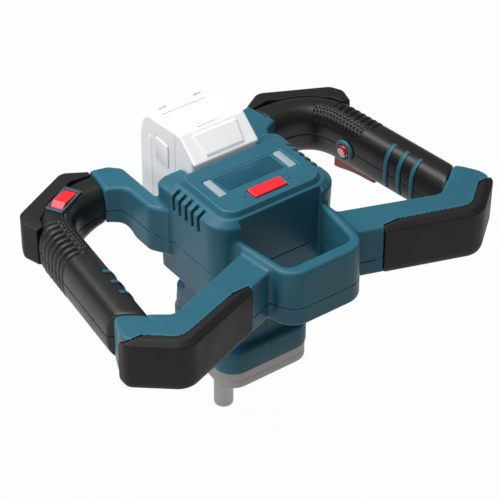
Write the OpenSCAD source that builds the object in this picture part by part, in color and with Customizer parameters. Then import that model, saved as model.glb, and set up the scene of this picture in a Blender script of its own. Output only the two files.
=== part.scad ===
// Cordless two-handled paddle mixer: power head with a ring of two grips, a carry loop and a slide-in pack.
// Frame: origin at the mouth of the output spindle, Z up along the spindle, X across the grips,
// the carry loop towards -Y and the battery pack towards +Y. Millimetres.

/* [Body] */
// Width of the motor body
body_w = 142; // [136:1:150]
// Distance from the spindle axis to the front wall
body_front = 99; // [96:1:104]
// Distance from the spindle axis to the rear face beside the pack
body_rear = 14; // [10:1:20]
// Height of the underside of the motor body
body_bottom = 211; // [208:1:216]
// Height of the top deck
deck_z = 321; // [318:1:326]
// Height of the slanted band round the top deck
deck_bevel_h = 7; // [4:0.5:10]
// Inward slant of that band along the sides
deck_bevel_in = 10; // [6:0.5:12]
// Inward slant of that band at the front
deck_bevel_front = 5; // [3:0.5:7]
// Wall of the housing
wall = 3; // [2.5:0.1:4]
// Radius of the front corners of the body
body_corner_r = 22; // [12:1:28]
// Height of the seam between the housing halves
split_z = 268; // [262:1:274]
// Clearance between fixed pieces that fit together
seat_gap = 0.2; // [0.1:0.05:0.3]
// Clearance around sliding pieces
slide_gap = 0.4; // [0.3:0.05:0.6]

/* [Vents] */
// Number of vent slots on each side
vent_count = 5; // [3:1:5]
// Spacing of the vent slots
vent_pitch = 10.4; // [8:0.2:11]
// Width of a vent slot
vent_w = 4; // [2:0.5:5]
// Height of a vent slot
vent_h = 24; // [12:1:30]

/* [Handle ring] */
// Height of the underside of the arms
ring_bottom = 238; // [235:1:241]
// Height of the arms
ring_h = 56; // [54:1:60]
// Reach of the front corners to each side
corner_reach = 221; // [217:1:229]
// Thickness of the front rubber bumper
bumper_t = 10; // [5:0.5:11]
// Width of the rear rubber bumper on top
rear_bumper_t = 16; // [13:0.5:18]
// Reach of the carry loop in front of the spindle
loop_reach = 176; // [170:1:184]
// Width of the carry loop at its front corners
loop_w = 94; // [88:1:98]
// Thickness of the carry loop at the front
loop_t = 15; // [11:1:18]
// Height of the carry loop's underside
loop_bottom = 235; // [230:1:240]
// Height of the carry loop's rim above the arms
loop_lip = 5; // [2:0.5:8]

/* [Grips] */
// Distance of the grip axis from the centre plane, abreast of the spindle
grip_x = 177; // [173:1:181]
// Splay of the grips
grip_splay = 7.1; // [6:0.1:8]
// Width of a grip
grip_w = 40; // [38:0.5:42]
// Height of a grip
grip_h = 56; // [54:0.5:59]
// Wall of the grip shells
grip_wall = 3.2; // [2.5:0.1:4]
// Number of coloured bands on each grip
band_count = 3; // [1:1:3]
// Spacing of the bands
band_pitch = 18; // [14:0.5:20]
// Width of a band
band_w = 5; // [3:0.5:7]

/* [Controls] */
// Length of the trigger
trigger_l = 60; // [50:1:66]
// Width of the trigger
trigger_w = 14; // [10:0.5:16]
// How far the trigger stands out of the grip
trigger_drop = 11.5; // [9:0.5:14]
// Travel of the trigger
trigger_travel = 7; // [4:0.5:8]
// Radius of the lock button
lock_r = 7; // [5:0.25:8]
// Travel of the lock button
lock_travel = 4; // [2:0.5:5]
// Length of the rocker frame
rocker_frame_l = 40; // [36:0.5:42]
// Width of the rocker frame
rocker_frame_w = 19; // [17:0.5:20]
// Tilt of the rocker to each side
rocker_tilt = 7; // [4:0.5:8]
// Width of the panel button
button_w = 39; // [30:0.5:44]
// Depth of the panel button
button_d = 15; // [10:0.5:17]
// Travel of the panel button
button_travel = 1.2; // [0.6:0.1:1.5]

/* [Battery] */
// Width of the pack
pack_w = 78; // [74:0.5:80]
// Distance from the spindle axis to the rear face of the pack
pack_rear = 87; // [86:0.5:92]
// Height of the pack's top front edge
pack_top = 351; // [347:1:356]
// Wall of the pack
pack_wall = 2.5; // [2:0.1:3]
// Cell diameter
cell_d = 18.6; // [18:0.1:18.8]
// Cell length
cell_l = 65; // [60:0.5:66]

/* [Gear train] */
// Distance between neighbouring shafts
shaft_spacing = 25; // [24.5:0.5:26]
// Teeth on the motor pinion
motor_pinion_teeth = 12; // [12:1:13]
// Teeth on the intermediate wheel
middle_wheel_teeth = 38; // [36:1:38]
// Teeth on the intermediate pinion
middle_pinion_teeth = 12; // [12:1:13]
// Teeth on the output wheel
output_wheel_teeth = 28; // [26:1:28]
// Face width of the fast pair
fast_face = 10; // [7:0.5:10.5]
// Face width of the slow pair
slow_face = 12; // [9:0.5:13]
// Pressure angle of the teeth
pressure_angle = 25; // [22:0.5:27]

/* [Spindle] */
// Outside diameter of the spindle
spindle_d = 21; // [20:0.5:23]
// Core diameter of the M14 female thread
socket_d = 12; // [11.8:0.1:12.4]
// Depth of the threaded socket
socket_depth = 26; // [20:1:32]
// Height of the gearbox cover above the spindle mouth
cover_z = 96.5; // [90:0.5:97]
// Thickness of the gearbox cover plate
cover_t = 8.5; // [8:0.5:10]
// Thickness of the flange of the gear case
flange_t = 10; // [8:0.5:11]

/* [Motor] */
// Distance of the motor can's outside from the motor axis
can_r = 34; // [32:0.5:34.5]
// Wall of the motor can
can_wall = 2; // [1.5:0.1:2.5]
// Rotor radius
rotor_r = 15; // [12:0.5:17]
// Motor shaft diameter
motor_shaft_d = 8; // [7.5:0.1:8.2]
// Stack length of the stator
stack_l = 28; // [20:1:30]

/* [Hidden] */
$fn = 48;

teal = "#34697d";
dark_teal = "#2b5868";
rubber = "#262626";
metal = "#8a8886";
steel = "#b4b6b8";
red = "#d8232c";
clear_red = "#c8232c";
frosted = "#e6e8e8";
copper = "#b87333";
board_green = "#2f6b3f";

// Small reserve used where a cut runs past a face
past = 1;
eps = 0.01;

// Handle ring levels
ring_top = ring_bottom + ring_h;
loop_top = ring_top + loop_lip;
grip_z = ring_bottom + ring_h / 2 - 1.5;

// Battery bay behind the body
bay_gap = 2.5;
bay_half = pack_w / 2 + bay_gap;
bay_front = -11;
bay_floor = 236;
pack_bottom = bay_floor + slide_gap;

// Gear shafts along the centre plane
middle_y = -shaft_spacing;
motor_y = -2 * shaft_spacing;
fast_module = 2 * shaft_spacing / (motor_pinion_teeth + middle_wheel_teeth);
slow_module = 2 * shaft_spacing / (middle_pinion_teeth + output_wheel_teeth);

// Levels in the gearbox, from the cover upwards
cover_top = cover_z + cover_t;
flange_top = cover_top + flange_t;
bearing_h = 10;
bearing_r = 17.5;
journal_r = 8.5;
slow_z = flange_top + 3;
web_z = slow_z + slow_face + 4;
web_pocket = 12;
web_t = 15;
web_top = web_z + web_t;
fast_z = web_top + 3;
case_top = fast_z + fast_face + 3;
motor_plate_t = 8;
motor_plate_top = case_top + motor_plate_t;
bush_r = 5.5;
bush_h = 8;
middle_r = 4;
run_gap = 0.03;

// Neck round the gear case
neck_half = 46;
neck_front = -75;
neck_rear = 30;
neck_rear_top = 13;
neck_corner_r = 16;
skirt_half = 54.5;
skirt_front = -84;
skirt_rear = 32;
skirt_rear_half = 46;
skirt_corner_r = 20;
ledge_z = 141;
flare_low = web_top + 9;
flare_high = flare_low + 18;
case_wall = 4;

// Motor levels inside the body
floor_top = body_bottom + wall;
small_bearing_r = 11;
small_bearing_h = 7;
can_floor_t = 4;
lower_bearing_z = floor_top + can_floor_t;
stack_z = lower_bearing_z + small_bearing_h + 4;
fan_z = stack_z + stack_l + 6;
fan_h = 8;
can_top = fan_z + fan_h + 3;
cap_t = 8;
shaft_top = can_top + cap_t - 2;

// Panel on the deck
panel_half = 58;
panel_front = -91;
panel_rear = -12;
panel_t = 6;
panel_z = deck_z + panel_t;
panel_corner_r = 14;
deck_hole_half = 48;
deck_hole_front = -85;
deck_hole_rear = -20;
button_y = -76.3;
button_proud = 2;
strip_half_in = 38;
strip_half_out = 46;
strip_front = -62;
strip_rear = -33;
plate_half = 34;
plate_front = -58;
plate_rear = -34;
lens_x = 26.6;
lens_r = 1;
plate_t = 2;
plate_sink = 1;
board_t = 1.6;
board_z = 290;
board_half = 57;
board_spots = [[53, -78], [53, -28]];
panel_posts = [[40, -70], [30, -28]];
switch_h = 3;
switch_gap = 0.2;
panel_post_drop = switch_h + button_travel + switch_gap;

// Rounded outlines: each point is [x, y, corner radius]
function unit(v) = v / norm(v);
function xy(p) = [p[0], p[1]];
function turn(d) = d > 180 ? d - 360 : (d < -180 ? d + 360 : d);
function arc_corner(p, a, b, n) =
  let (u = unit(xy(a) - xy(p)), v = unit(xy(b) - xy(p)))
  let (half = acos(max(-1, min(1, u * v))) / 2)
  let (c = xy(p) + unit(u + v) * p[2] / sin(half), s = xy(p) + u * p[2] / tan(half))
  let (e = xy(p) + v * p[2] / tan(half), a0 = atan2(s[1] - c[1], s[0] - c[0]))
  let (d = turn(atan2(e[1] - c[1], e[0] - c[0]) - a0))
  [for (k = [0:n]) c + p[2] * [cos(a0 + d * k / n), sin(a0 + d * k / n)]];
function outline(pts, n = 6) =
  let (m = len(pts))
  [for (i = [0:m - 1]) each (pts[i][2] == 0 ? [xy(pts[i])]
    : arc_corner(pts[i], pts[(i + m - 1) % m], pts[(i + 1) % m], n))];

// The same outline drawn in by d; points run anticlockwise
function left_normal(a, b) = let (e = unit(xy(b) - xy(a))) [-e[1], e[0]];
function inset(pts, d) =
  let (m = len(pts))
  [for (i = [0:m - 1])
    let (a = pts[(i + m - 1) % m], p = pts[i], b = pts[(i + 1) % m])
    let (n1 = left_normal(a, p), n2 = left_normal(p, b))
    let (q = xy(p) + d * (n1 + n2) / (1 + n1 * n2), bend = n1[0] * n2[1] - n1[1] * n2[0])
    [q[0], q[1], p[2] == 0 ? 0 : (bend > 0 ? max(p[2] - d, 0.5) : p[2] + d)]];

module prism(pts, z0, z1) {
  translate([0, 0, z0])
    linear_extrude(z1 - z0)
      polygon(outline(pts));
}

module both_sides() {
  children();
  mirror([1, 0, 0])
    children();
}

module post(x, y, z0, z1, r) {
  translate([x, y, z0])
    cylinder(h = z1 - z0, r = r);
}

function box_outline(half, front, rear, r_front, r_rear) =
  [[-half, front, r_front], [half, front, r_front], [half, rear, r_rear], [-half, rear, r_rear]];

// Plan outlines of the housing
body_half = body_w / 2;
body_plan = [
  [-body_half, -body_front, body_corner_r], [body_half, -body_front, body_corner_r],
  [body_half, body_rear, 8], [bay_half, body_rear, 2], [bay_half, bay_front, 3],
  [-bay_half, bay_front, 3], [-bay_half, body_rear, 2], [-body_half, body_rear, 8]
];
foot_plan = box_outline(body_half, -body_front, body_rear, body_corner_r, 8);
room_plan = box_outline(body_half, -body_front, bay_front, body_corner_r, 4);
deck_plan = box_outline(body_half - deck_bevel_in, -body_front + deck_bevel_front, bay_front,
  body_corner_r - deck_bevel_front, 6);
bevel_z = deck_z - deck_bevel_h;
loop_half = loop_w / 2;
loop_root = 57;
loop_side_t = 8;
loop_plan = [[-loop_root, -body_front + 10, 0], [-loop_half, -loop_reach, 24],
  [loop_half, -loop_reach, 24], [loop_root, -body_front + 10, 0]];
loop_gap = [[-loop_root + loop_side_t, -body_front + 5, 0],
  [-loop_half + loop_side_t, -loop_reach + loop_t, 11], [loop_half - loop_side_t, -loop_reach + loop_t, 11],
  [loop_root - loop_side_t, -body_front + 5, 0]];

// Front arm: outer edge, chamfered corner, face that carries the grip, inner edge
grip_face_a = [160, -148];
grip_face_b = [corner_reach - 10, -110.7];
corner_a = [corner_reach - 49, -192];
corner_b = [corner_reach - 2, -153.5];
arm_tip = [corner_reach - 4, -141];
// The outer end of the face stays inside the rounded side of the grip
arm_end = grip_face_a + 0.9 * (grip_face_b - grip_face_a);
arm_plan = [
  [46, -148.3, 0], [corner_a[0], corner_a[1], 24], [corner_b[0], corner_b[1], 12],
  [arm_tip[0], arm_tip[1], 4], [arm_end[0], arm_end[1], 3],
  [grip_face_a[0], grip_face_a[1], 12], [53, -108.5, 0]
];
// The same arm with plain corners, for the hollow inside
arm_core = [for (i = [0, 1, 2, 4, 5, 6]) [arm_plan[i][0], arm_plan[i][1], 0]];
// Strip of the front arm that the rubber bumper takes, standing out of the arm's face
bumper_out = 2.5;
bumper_start = [80, -160.1];
bumper_plan_pts = [
  [bumper_start[0] - bumper_out * 0.33, bumper_start[1] - bumper_out * 0.94, 0],
  [corner_a[0] + bumper_out * 0.2, corner_a[1] - bumper_out * 1.15, 25],
  [corner_b[0] + bumper_out * 0.9, corner_b[1] - bumper_out * 0.35, 13],
  [arm_tip[0] + bumper_out, arm_tip[1] - 0.5, 0], [arm_tip[0] - bumper_t, arm_tip[1] - 2, 0],
  [corner_b[0] - bumper_t, corner_b[1] + 3, 8],
  [corner_a[0] + bumper_t * 0.12, corner_a[1] + bumper_t * 1.15, 18],
  [bumper_start[0] + bumper_t * 0.33, bumper_start[1] + bumper_t * 0.94, 0]
];
// Rear arm: beside the pack, then out to the grip
rear_joint_in = [105, 52];
rear_joint_out = [98, 90];
rear_plan = [
  [body_half - 8, -14, 0], [body_half + 4, -14, 0], [86, 4, 14], [86, 42, 14],
  [rear_joint_in[0], rear_joint_in[1], 0], [rear_joint_out[0], rear_joint_out[1], 0],
  [80, 85, 8], [69, 74, 10], [69, 8, 4], [body_half - 8, 8, 0]
];

// Grip line in plan: a bend from the rear arm, then straight to the front corner
grip_dir = [sin(grip_splay), -cos(grip_splay)];
bend_end_y = 22;
function grip_at(y) = [grip_x - y * tan(grip_splay), y];
bend_p0 = (rear_joint_in + rear_joint_out) / 2;
bend_p3 = grip_at(bend_end_y);
bend_p1 = bend_p0 + [46, 2];
bend_p2 = bend_p3 - grip_dir * 34;
function bezier(t) = pow(1 - t, 3) * bend_p0 + 3 * t * pow(1 - t, 2) * bend_p1
  + 3 * t * t * (1 - t) * bend_p2 + t * t * t * bend_p3;
bend_steps = 9;
bend_path = [for (k = [0:bend_steps]) bezier(k / bend_steps)];
face_dir = unit(grip_face_b - grip_face_a);
// Where the grip line meets the face of the front corner
face_hit = let (w = grip_face_a - bend_p3)
  bend_p3 + grip_dir * ((w[0] * face_dir[1] - w[1] * face_dir[0])
    / (grip_dir[0] * face_dir[1] - grip_dir[1] * face_dir[0]));
grip_path = concat(bend_path, [bend_p3 + (face_hit - bend_p3) * 0.5, face_hit]);

function across(path, i) =
  let (m = len(path) - 1, t = unit(path[min(i + 1, m)] - path[max(i - 1, 0)])) [-t[1], t[0]];
// Cross direction at ring i, skewed at the two ends so that the grip ends flush with its neighbours
function skew(dir, n) = dir / (dir * n);
function grip_cross(i) =
  let (m = len(grip_path) - 1, n = across(grip_path, i))
  i == 0 ? skew(unit(rear_joint_out - rear_joint_in), n) : (i == m ? skew(face_dir, n) : n);

// Rounded-box section: superellipse of power 2.8, u across and v up
section_power = 2.8;
function spow(v) = sign(v) * pow(abs(v), 2 / section_power);
function section_point(a, g) = [(grip_w / 2 + g) * spow(cos(a)), (grip_h / 2 + g) * spow(sin(a))];
section_steps = 14;
// Half shell above (up = 1) or below (up = -1) the seam
seam_gap = 0.1;
function half_section(up) = let (
  outer = [for (k = [0:section_steps]) section_point(k * 180 / section_steps, 0)],
  inner = [for (k = [section_steps:-1:0]) section_point(k * 180 / section_steps, -grip_wall)])
  [for (q = concat(outer, inner)) [up * q[0], up * max(q[1], seam_gap / 2)]];

// Tube with the given section carried along the grip path, from ring first to ring last; the section has an even
// number of points, and point k faces the k-th from the end
module carried(section, first, last) {
  m = len(section);
  rings = [for (i = [first:last]) let (n = grip_cross(i))
    [for (q = section) [grip_path[i][0] + n[0] * q[0], grip_path[i][1] + n[1] * q[0], grip_z + q[1]]]];
  count = last - first;
  sides = [for (i = [0:count - 1]) each [for (k = [0:m - 1])
    each [[i * m + k, (i + 1) * m + (k + 1) % m, i * m + (k + 1) % m],
      [i * m + k, (i + 1) * m + k, (i + 1) * m + (k + 1) % m]]]];
  strips = [for (k = [0:m / 2 - 2]) each [[k, k + 1, m - 1 - k], [k + 1, m - 2 - k, m - 1 - k]]];
  ends = concat(strips, [for (t = strips) [for (j = [2:-1:0]) count * m + t[j]]]);
  polyhedron(points = [for (r = rings) each r], faces = concat(sides, ends));
}

// Local frame of the grip: y along the grip towards the rear, x outwards, z up from the grip axis
module on_grip() {
  translate([grip_x, 0, grip_z])
    rotate([0, 0, grip_splay])
      children();
}

// Spur gear outline: involute flanks between root and tip, thinned for play
tooth_play = 0.09;
function involute(a) = tan(a) * 180 / PI - a;
function gear_outline(teeth, m) =
  let (r = m * teeth / 2, rb = r * cos(pressure_angle), tip = r + 0.8 * m, root = r - 1.05 * m)
  let (half = 90 / teeth * (1 - tooth_play * 2 / PI * 2), steps = 4, r0 = max(rb, root + 0.05))
  let (flank = [for (k = [0:steps]) let (q = r0 + (tip - r0) * k / steps)
    [q, half + involute(pressure_angle) - involute(acos(min(1, rb / q)))]])
  [for (t = [0:teeth - 1]) let (c = t * 360 / teeth) each concat(
    [root * [cos(c - flank[0][1]), sin(c - flank[0][1])]],
    [for (f = flank) f[0] * [cos(c - f[1]), sin(c - f[1])]],
    [for (k = [steps:-1:0]) flank[k][0] * [cos(c + flank[k][1]), sin(c + flank[k][1])]],
    [root * [cos(c + flank[0][1]), sin(c + flank[0][1])]])];

// Gear on a shaft at y, its first tooth turned to the given angle
module gear(y, z, teeth, m, face, bore_r, angle) {
  translate([0, y, z])
    difference() {
      rotate([0, 0, angle])
        linear_extrude(face)
          polygon(gear_outline(teeth, m));
      translate([0, 0, -past])
        cylinder(h = face + 2 * past, r = bore_r);
    }
}

module ring(y, z, h, r_out, r_in) {
  translate([0, y, z])
    difference() {
      cylinder(h = h, r = r_out);
      translate([0, 0, -past])
        cylinder(h = h + 2 * past, r = r_in);
    }
}

// Housing in one piece: body, carry loop, front and rear arms
screw_r = 4;
module housing_solid() {
  prism(body_plan, bay_floor, bevel_z);
  prism(foot_plan, body_bottom, bay_floor);
  hull() {
    prism(room_plan, bevel_z, bevel_z + eps);
    prism(deck_plan, deck_z - eps, deck_z);
  }
  difference() {
    prism(loop_plan, loop_bottom, loop_top);
    prism(loop_gap, loop_bottom - past, loop_top + past);
  }
  both_sides() {
    prism(arm_plan, ring_bottom, ring_top);
    prism(rear_plan, ring_bottom, ring_top);
  }
}

module housing_room() {
  prism(inset(room_plan, wall), floor_top, bevel_z - wall);
  prism(inset(foot_plan, wall), floor_top, bay_floor - wall);
  prism(inset(deck_plan, wall), bevel_z - wall, deck_z - wall);
  both_sides() {
    prism(inset(arm_core, bumper_t + wall + 1), ring_bottom + wall, ring_top - wall);
    prism(inset(rear_plan, wall), ring_bottom + wall, ring_top - wall);
    prism(bumper_cut, ring_bottom - past, ring_top + past);
  }
}
bumper_cut = inset(bumper_plan_pts, -seat_gap);

// Vent slots: up the side wall and over the lower part of the slanted band
vent_first = -21.5;
vent_rise = deck_bevel_h - 1.5;
vent_depth = deck_bevel_in - 0.5;
module vents() {
  for (k = [0:vent_count - 1])
    both_sides()
      translate([body_half - vent_depth, vent_first - k * vent_pitch - vent_w / 2, bevel_z + vent_rise - vent_h])
        cube([vent_depth + past, vent_w, vent_h]);
}

// Bosses of the housing screws, which join the two halves
screw_spots = [[body_half - 8, -body_front + 14], [body_half - 8, bay_front - 12]];
boss_r = screw_r + 2;
boss_h = 20;
// Slab as wide as the whole handle ring, from height z upwards
module above_seam(z, h) {
  translate([-corner_reach - past, -corner_reach - past, z])
    cube([2 * corner_reach + 2 * past, 2 * corner_reach + 2 * past, h]);
}
module upper_housing() {
  color(teal)
    difference() {
      intersection() {
        housing_solid();
        above_seam(split_z, deck_z - split_z + past);
      }
      difference() {
        housing_room();
        for (p = screw_spots)
          both_sides()
            post(p[0], p[1], split_z, split_z + boss_h, boss_r);
        for (p = board_spots)
          both_sides()
            post(p[0], p[1], board_z + board_t, deck_z, 3);
      }
      vents();
      prism(box_outline(deck_hole_half, deck_hole_front, deck_hole_rear, 6, 6), deck_z - wall - past,
        deck_z + past);
      for (p = screw_spots)
        both_sides()
          post(p[0], p[1], split_z - past, split_z + 16, screw_r / 2 + seat_gap);
      socket_cut();
    }
}

module lower_housing() {
  color(teal)
    difference() {
      intersection() {
        housing_solid();
        above_seam(body_bottom - past, split_z - body_bottom + past);
      }
      difference() {
        housing_room();
        for (p = screw_spots)
          both_sides()
            post(p[0], p[1], body_bottom, split_z, boss_r);
      }
      for (p = screw_spots)
        both_sides() {
          post(p[0], p[1], body_bottom - past, split_z + past, screw_r / 2 + seat_gap);
          post(p[0], p[1], body_bottom - past, body_bottom + 8, screw_r + seat_gap);
        }
      post(0, motor_y, body_bottom - past, floor_top + past, small_bearing_r + 1);
      socket_cut();
    }
}

module housing_screws() {
  color(steel)
    for (p = screw_spots)
      both_sides() {
        post(p[0], p[1], body_bottom + 8 - 3.5, split_z + 15, screw_r / 2);
        post(p[0], p[1], body_bottom + 8 - 4, body_bottom + 8, screw_r - 0.2);
      }
}

// Hole in the bay wall for the leads of the battery socket
lead_half = 10;
lead_z = 270;
module socket_cut() {
  translate([-lead_half, bay_front - wall - past, lead_z - lead_half / 2])
    cube([2 * lead_half, wall + 2 * past, lead_half]);
}

// Neck and gearbox outlines
flange_plan = box_outline(neck_half, neck_front, neck_rear, neck_corner_r, neck_corner_r);
skirt_plan = [[-skirt_half, skirt_front, skirt_corner_r], [skirt_half, skirt_front, skirt_corner_r],
  [skirt_rear_half, skirt_rear, neck_corner_r], [-skirt_rear_half, skirt_rear, neck_corner_r]];
neck_top_plan = box_outline(neck_half, neck_front, neck_rear_top, neck_corner_r, neck_corner_r);
case_low_plan = inset(flange_plan, wall + seat_gap);
case_high_plan = inset(neck_top_plan, wall + seat_gap);
module gear_neck() {
  color(dark_teal)
    difference() {
      union() {
        prism(skirt_plan, flange_top, ledge_z);
        prism(flange_plan, flange_top, flare_low);
        hull() {
          prism(flange_plan, flare_low - eps, flare_low);
          prism(neck_top_plan, flare_high, flare_high + eps);
        }
        prism(neck_top_plan, flare_high, body_bottom);
      }
      prism(inset(skirt_plan, wall), flange_top - past, ledge_z - wall);
      prism(inset(flange_plan, wall), flange_top - past, flare_low - wall);
      prism(inset(neck_top_plan, wall), flange_top - past, body_bottom + past);
    }
}

// Screws that hold the cover to the case
cover_spots = [[neck_half - 10, neck_front + 10], [neck_half - 10, neck_rear - 10]];
cover_screw_r = 2.5;
slow_room = box_outline(neck_half - 19, middle_y - 15, neck_rear - 8, 6, 12);
fast_room_half = 24;
fast_room = box_outline(fast_room_half, motor_y - 11, middle_y + 23, 6, 6);
module gearbox_case() {
  color(metal)
    difference() {
      union() {
        prism(skirt_plan, cover_top, flange_top);
        prism(case_low_plan, flange_top - eps, web_top);
        prism(case_high_plan, web_top - eps, case_top);
      }
      prism(slow_room, cover_top - past, web_z);
      prism(fast_room, web_top, case_top + past);
      post(0, 0, web_z - past, web_z + web_pocket, bearing_r + run_gap);
      post(0, middle_y, web_z - past, web_top + past, middle_r + 0.8);
      for (p = cover_spots)
        both_sides()
          post(p[0], p[1], cover_top - past, flange_top + 8, cover_screw_r + seat_gap);
    }
}

seal_r = 15;
seal_lip = 1.5;
module gearbox_cover() {
  color(metal)
    difference() {
      union() {
        prism(skirt_plan, cover_z, cover_top);
        post(0, 0, cover_top - eps, cover_top + bearing_h, bearing_r + 3);
        post(0, middle_y, cover_top - eps, cover_top + bush_h - 1, bush_r + 2.5);
      }
      post(0, 0, cover_z - past, cover_top, spindle_d / 2 + slide_gap);
      post(0, 0, cover_z + seal_lip, cover_top + past, seal_r + run_gap);
      post(0, 0, cover_top, cover_top + bearing_h + past, bearing_r + run_gap);
      post(0, middle_y, cover_top - 2, cover_top + bush_h + past, bush_r + run_gap);
      for (p = cover_spots)
        both_sides()
          post(p[0], p[1], cover_z - past, cover_top + past, cover_screw_r + seat_gap);
    }
}

cover_head_h = 3;
module cover_screws() {
  color(steel)
    for (p = cover_spots)
      both_sides() {
        post(p[0], p[1], cover_z - cover_head_h / 2, flange_top + 6, cover_screw_r);
        difference() {
          post(p[0], p[1], cover_z - cover_head_h, cover_z, cover_screw_r * 1.8);
          post(p[0], p[1], cover_z - cover_head_h - past, cover_z - cover_head_h / 2, cover_screw_r * 0.8);
        }
      }
}

// Output spindle: plain barrel with a threaded socket, journals above
spindle_edge = 2;
shoulder_gap = 0.3;
journal_top = web_z + web_pocket - 0.5;
module spindle() {
  color(metal)
    difference() {
      rotate_extrude()
        polygon([[0, 0], [spindle_d / 2 - spindle_edge, 0], [spindle_d / 2, spindle_edge],
          [spindle_d / 2, cover_top - shoulder_gap], [journal_r, cover_top - shoulder_gap],
          [journal_r, journal_top], [0, journal_top]]);
      post(0, 0, -past, socket_depth, socket_d / 2);
    }
}

module output_wheel() {
  color(steel)
    gear(0, slow_z, output_wheel_teeth, slow_module, slow_face, journal_r + run_gap / 2,
      270 + 180 / output_wheel_teeth);
}

module spindle_bearings() {
  color(steel) {
    ring(0, cover_top, bearing_h, bearing_r, journal_r + run_gap);
    ring(0, web_z + 1.5, bearing_h, bearing_r, journal_r + run_gap);
  }
}

module shaft_seal() {
  color(rubber)
    ring(0, cover_z + seal_lip, cover_t - seal_lip - 0.2, seal_r, spindle_d / 2 + run_gap);
}

module middle_shaft() {
  color(steel)
    post(0, middle_y, cover_top - 1.7, motor_plate_top - 0.5, middle_r);
}

module middle_wheel() {
  color(steel)
    gear(middle_y, fast_z, middle_wheel_teeth, fast_module, fast_face, middle_r + run_gap / 2,
      270 + 180 / middle_wheel_teeth);
}

module middle_pinion() {
  color(steel)
    gear(middle_y, slow_z, middle_pinion_teeth, slow_module, slow_face, middle_r + run_gap / 2, 90);
}

module middle_bushes() {
  color(copper) {
    ring(middle_y, cover_top - 2, bush_h, bush_r, middle_r + run_gap);
    ring(middle_y, case_top, motor_plate_t, bush_r, middle_r + run_gap);
  }
}

module motor_plate() {
  color(metal)
    difference() {
      prism(case_high_plan, case_top, motor_plate_top);
      post(0, middle_y, case_top - past, motor_plate_top + past, bush_r + run_gap);
      post(0, motor_y, case_top - past, motor_plate_top, motor_shaft_d / 2 + 1.5);
      post(0, motor_y, motor_plate_top - small_bearing_h, motor_plate_top + past, small_bearing_r + run_gap);
    }
}

module motor_shaft() {
  color(steel)
    post(0, motor_y, fast_z - 1, shaft_top, motor_shaft_d / 2);
}

module motor_pinion() {
  color(steel)
    gear(motor_y, fast_z, motor_pinion_teeth, fast_module, fast_face, motor_shaft_d / 2 + run_gap / 2, 90);
}

module rotor_core() {
  color("dimgray")
    ring(motor_y, stack_z, stack_l, rotor_r, motor_shaft_d / 2 + run_gap / 2);
}

// Stator: ring with slots that the windings fill
slot_count = 12;
air_gap = 0.6;
module stator() {
  color(copper)
    difference() {
      ring(motor_y, stack_z, stack_l, can_r - can_wall - run_gap, rotor_r + air_gap);
      for (k = [0:slot_count - 1])
        translate([0, motor_y, stack_z - past])
          rotate([0, 0, k * 360 / slot_count])
            translate([rotor_r + 4, -1.2, 0])
              cube([(can_r - rotor_r) / 2 - 2, 2.4, stack_l + 2 * past]);
    }
}

module motor_can() {
  color("gray")
    difference() {
      union() {
        ring(motor_y, floor_top, can_top - floor_top, can_r, can_r - can_wall);
        post(0, motor_y, floor_top, floor_top + can_floor_t, can_r - eps);
        post(0, motor_y, floor_top, lower_bearing_z + small_bearing_h, small_bearing_r + 3);
      }
      post(0, motor_y, floor_top - past, lower_bearing_z + eps, motor_shaft_d / 2 + 1.5);
      post(0, motor_y, lower_bearing_z, lower_bearing_z + small_bearing_h + past, small_bearing_r + run_gap);
    }
}

module motor_cap() {
  color("gray")
    difference() {
      post(0, motor_y, can_top, can_top + cap_t, can_r);
      post(0, motor_y, can_top - past, can_top + small_bearing_h, small_bearing_r + run_gap);
    }
}

module motor_bearings() {
  color(steel)
    for (z = [motor_plate_top - small_bearing_h, lower_bearing_z, can_top])
      ring(motor_y, z, small_bearing_h, small_bearing_r, motor_shaft_d / 2 + run_gap);
}

fan_blades = 9;
fan_r = 28;
fan_plate = 2;
module cooling_fan() {
  color("black")
    difference() {
      union() {
        post(0, motor_y, fan_z, fan_z + fan_plate, fan_r);
        post(0, motor_y, fan_z, fan_z + fan_h, motor_shaft_d / 2 + 4);
        for (k = [0:fan_blades - 1])
          translate([0, motor_y, fan_z + fan_plate - eps])
            rotate([0, 0, k * 360 / fan_blades])
              translate([10, -0.8, 0])
                cube([fan_r - 11, 1.6, fan_h - fan_plate]);
      }
      post(0, motor_y, fan_z - past, fan_z + fan_h + past, motor_shaft_d / 2 + run_gap / 2);
    }
}

// Panel on the deck
module panel_slot(half, front, rear, r, grow, z0, z1) {
  prism(box_outline(half + grow, front - grow, rear + grow, r, r), z0, z1);
}

module strip_slot(grow, z0, z1) {
  both_sides()
    prism([[strip_half_in - grow, strip_front - grow, 1], [strip_half_out + grow, strip_front - grow, 1],
      [strip_half_out + grow, strip_rear + grow, 1], [strip_half_in - grow, strip_rear + grow, 1]], z0, z1);
}

module control_panel() {
  color(teal)
    difference() {
      union() {
        prism(box_outline(panel_half, panel_front, panel_rear, panel_corner_r, 6), deck_z, panel_z);
        for (p = panel_posts)
          both_sides()
            post(p[0], p[1], deck_z - panel_post_drop, deck_z + eps, 2.5);
      }
      panel_slot(button_w / 2, button_y - button_d / 2, button_y + button_d / 2, 1.5, slide_gap,
        deck_z - past, panel_z + past);
      strip_slot(seat_gap, deck_z + 1, panel_z + past);
      panel_slot(plate_half, plate_front, plate_rear, 2, seat_gap, panel_z - plate_t - plate_sink,
        panel_z + past);
      both_sides()
        post(lens_x, button_y, deck_z - past, panel_z + past, lens_r + seat_gap / 2);
    }
}

module panel_plate() {
  color(dark_teal)
    panel_slot(plate_half, plate_front, plate_rear, 2, 0, panel_z - plate_t - plate_sink,
      panel_z - plate_sink);
}

module light_strips() {
  color("gainsboro")
    strip_slot(0, deck_z + 1, panel_z);
}

module panel_button() {
  color(red)
    panel_slot(button_w / 2, button_y - button_d / 2, button_y + button_d / 2, 1.5, 0, deck_z,
      panel_z + button_proud);
}

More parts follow.
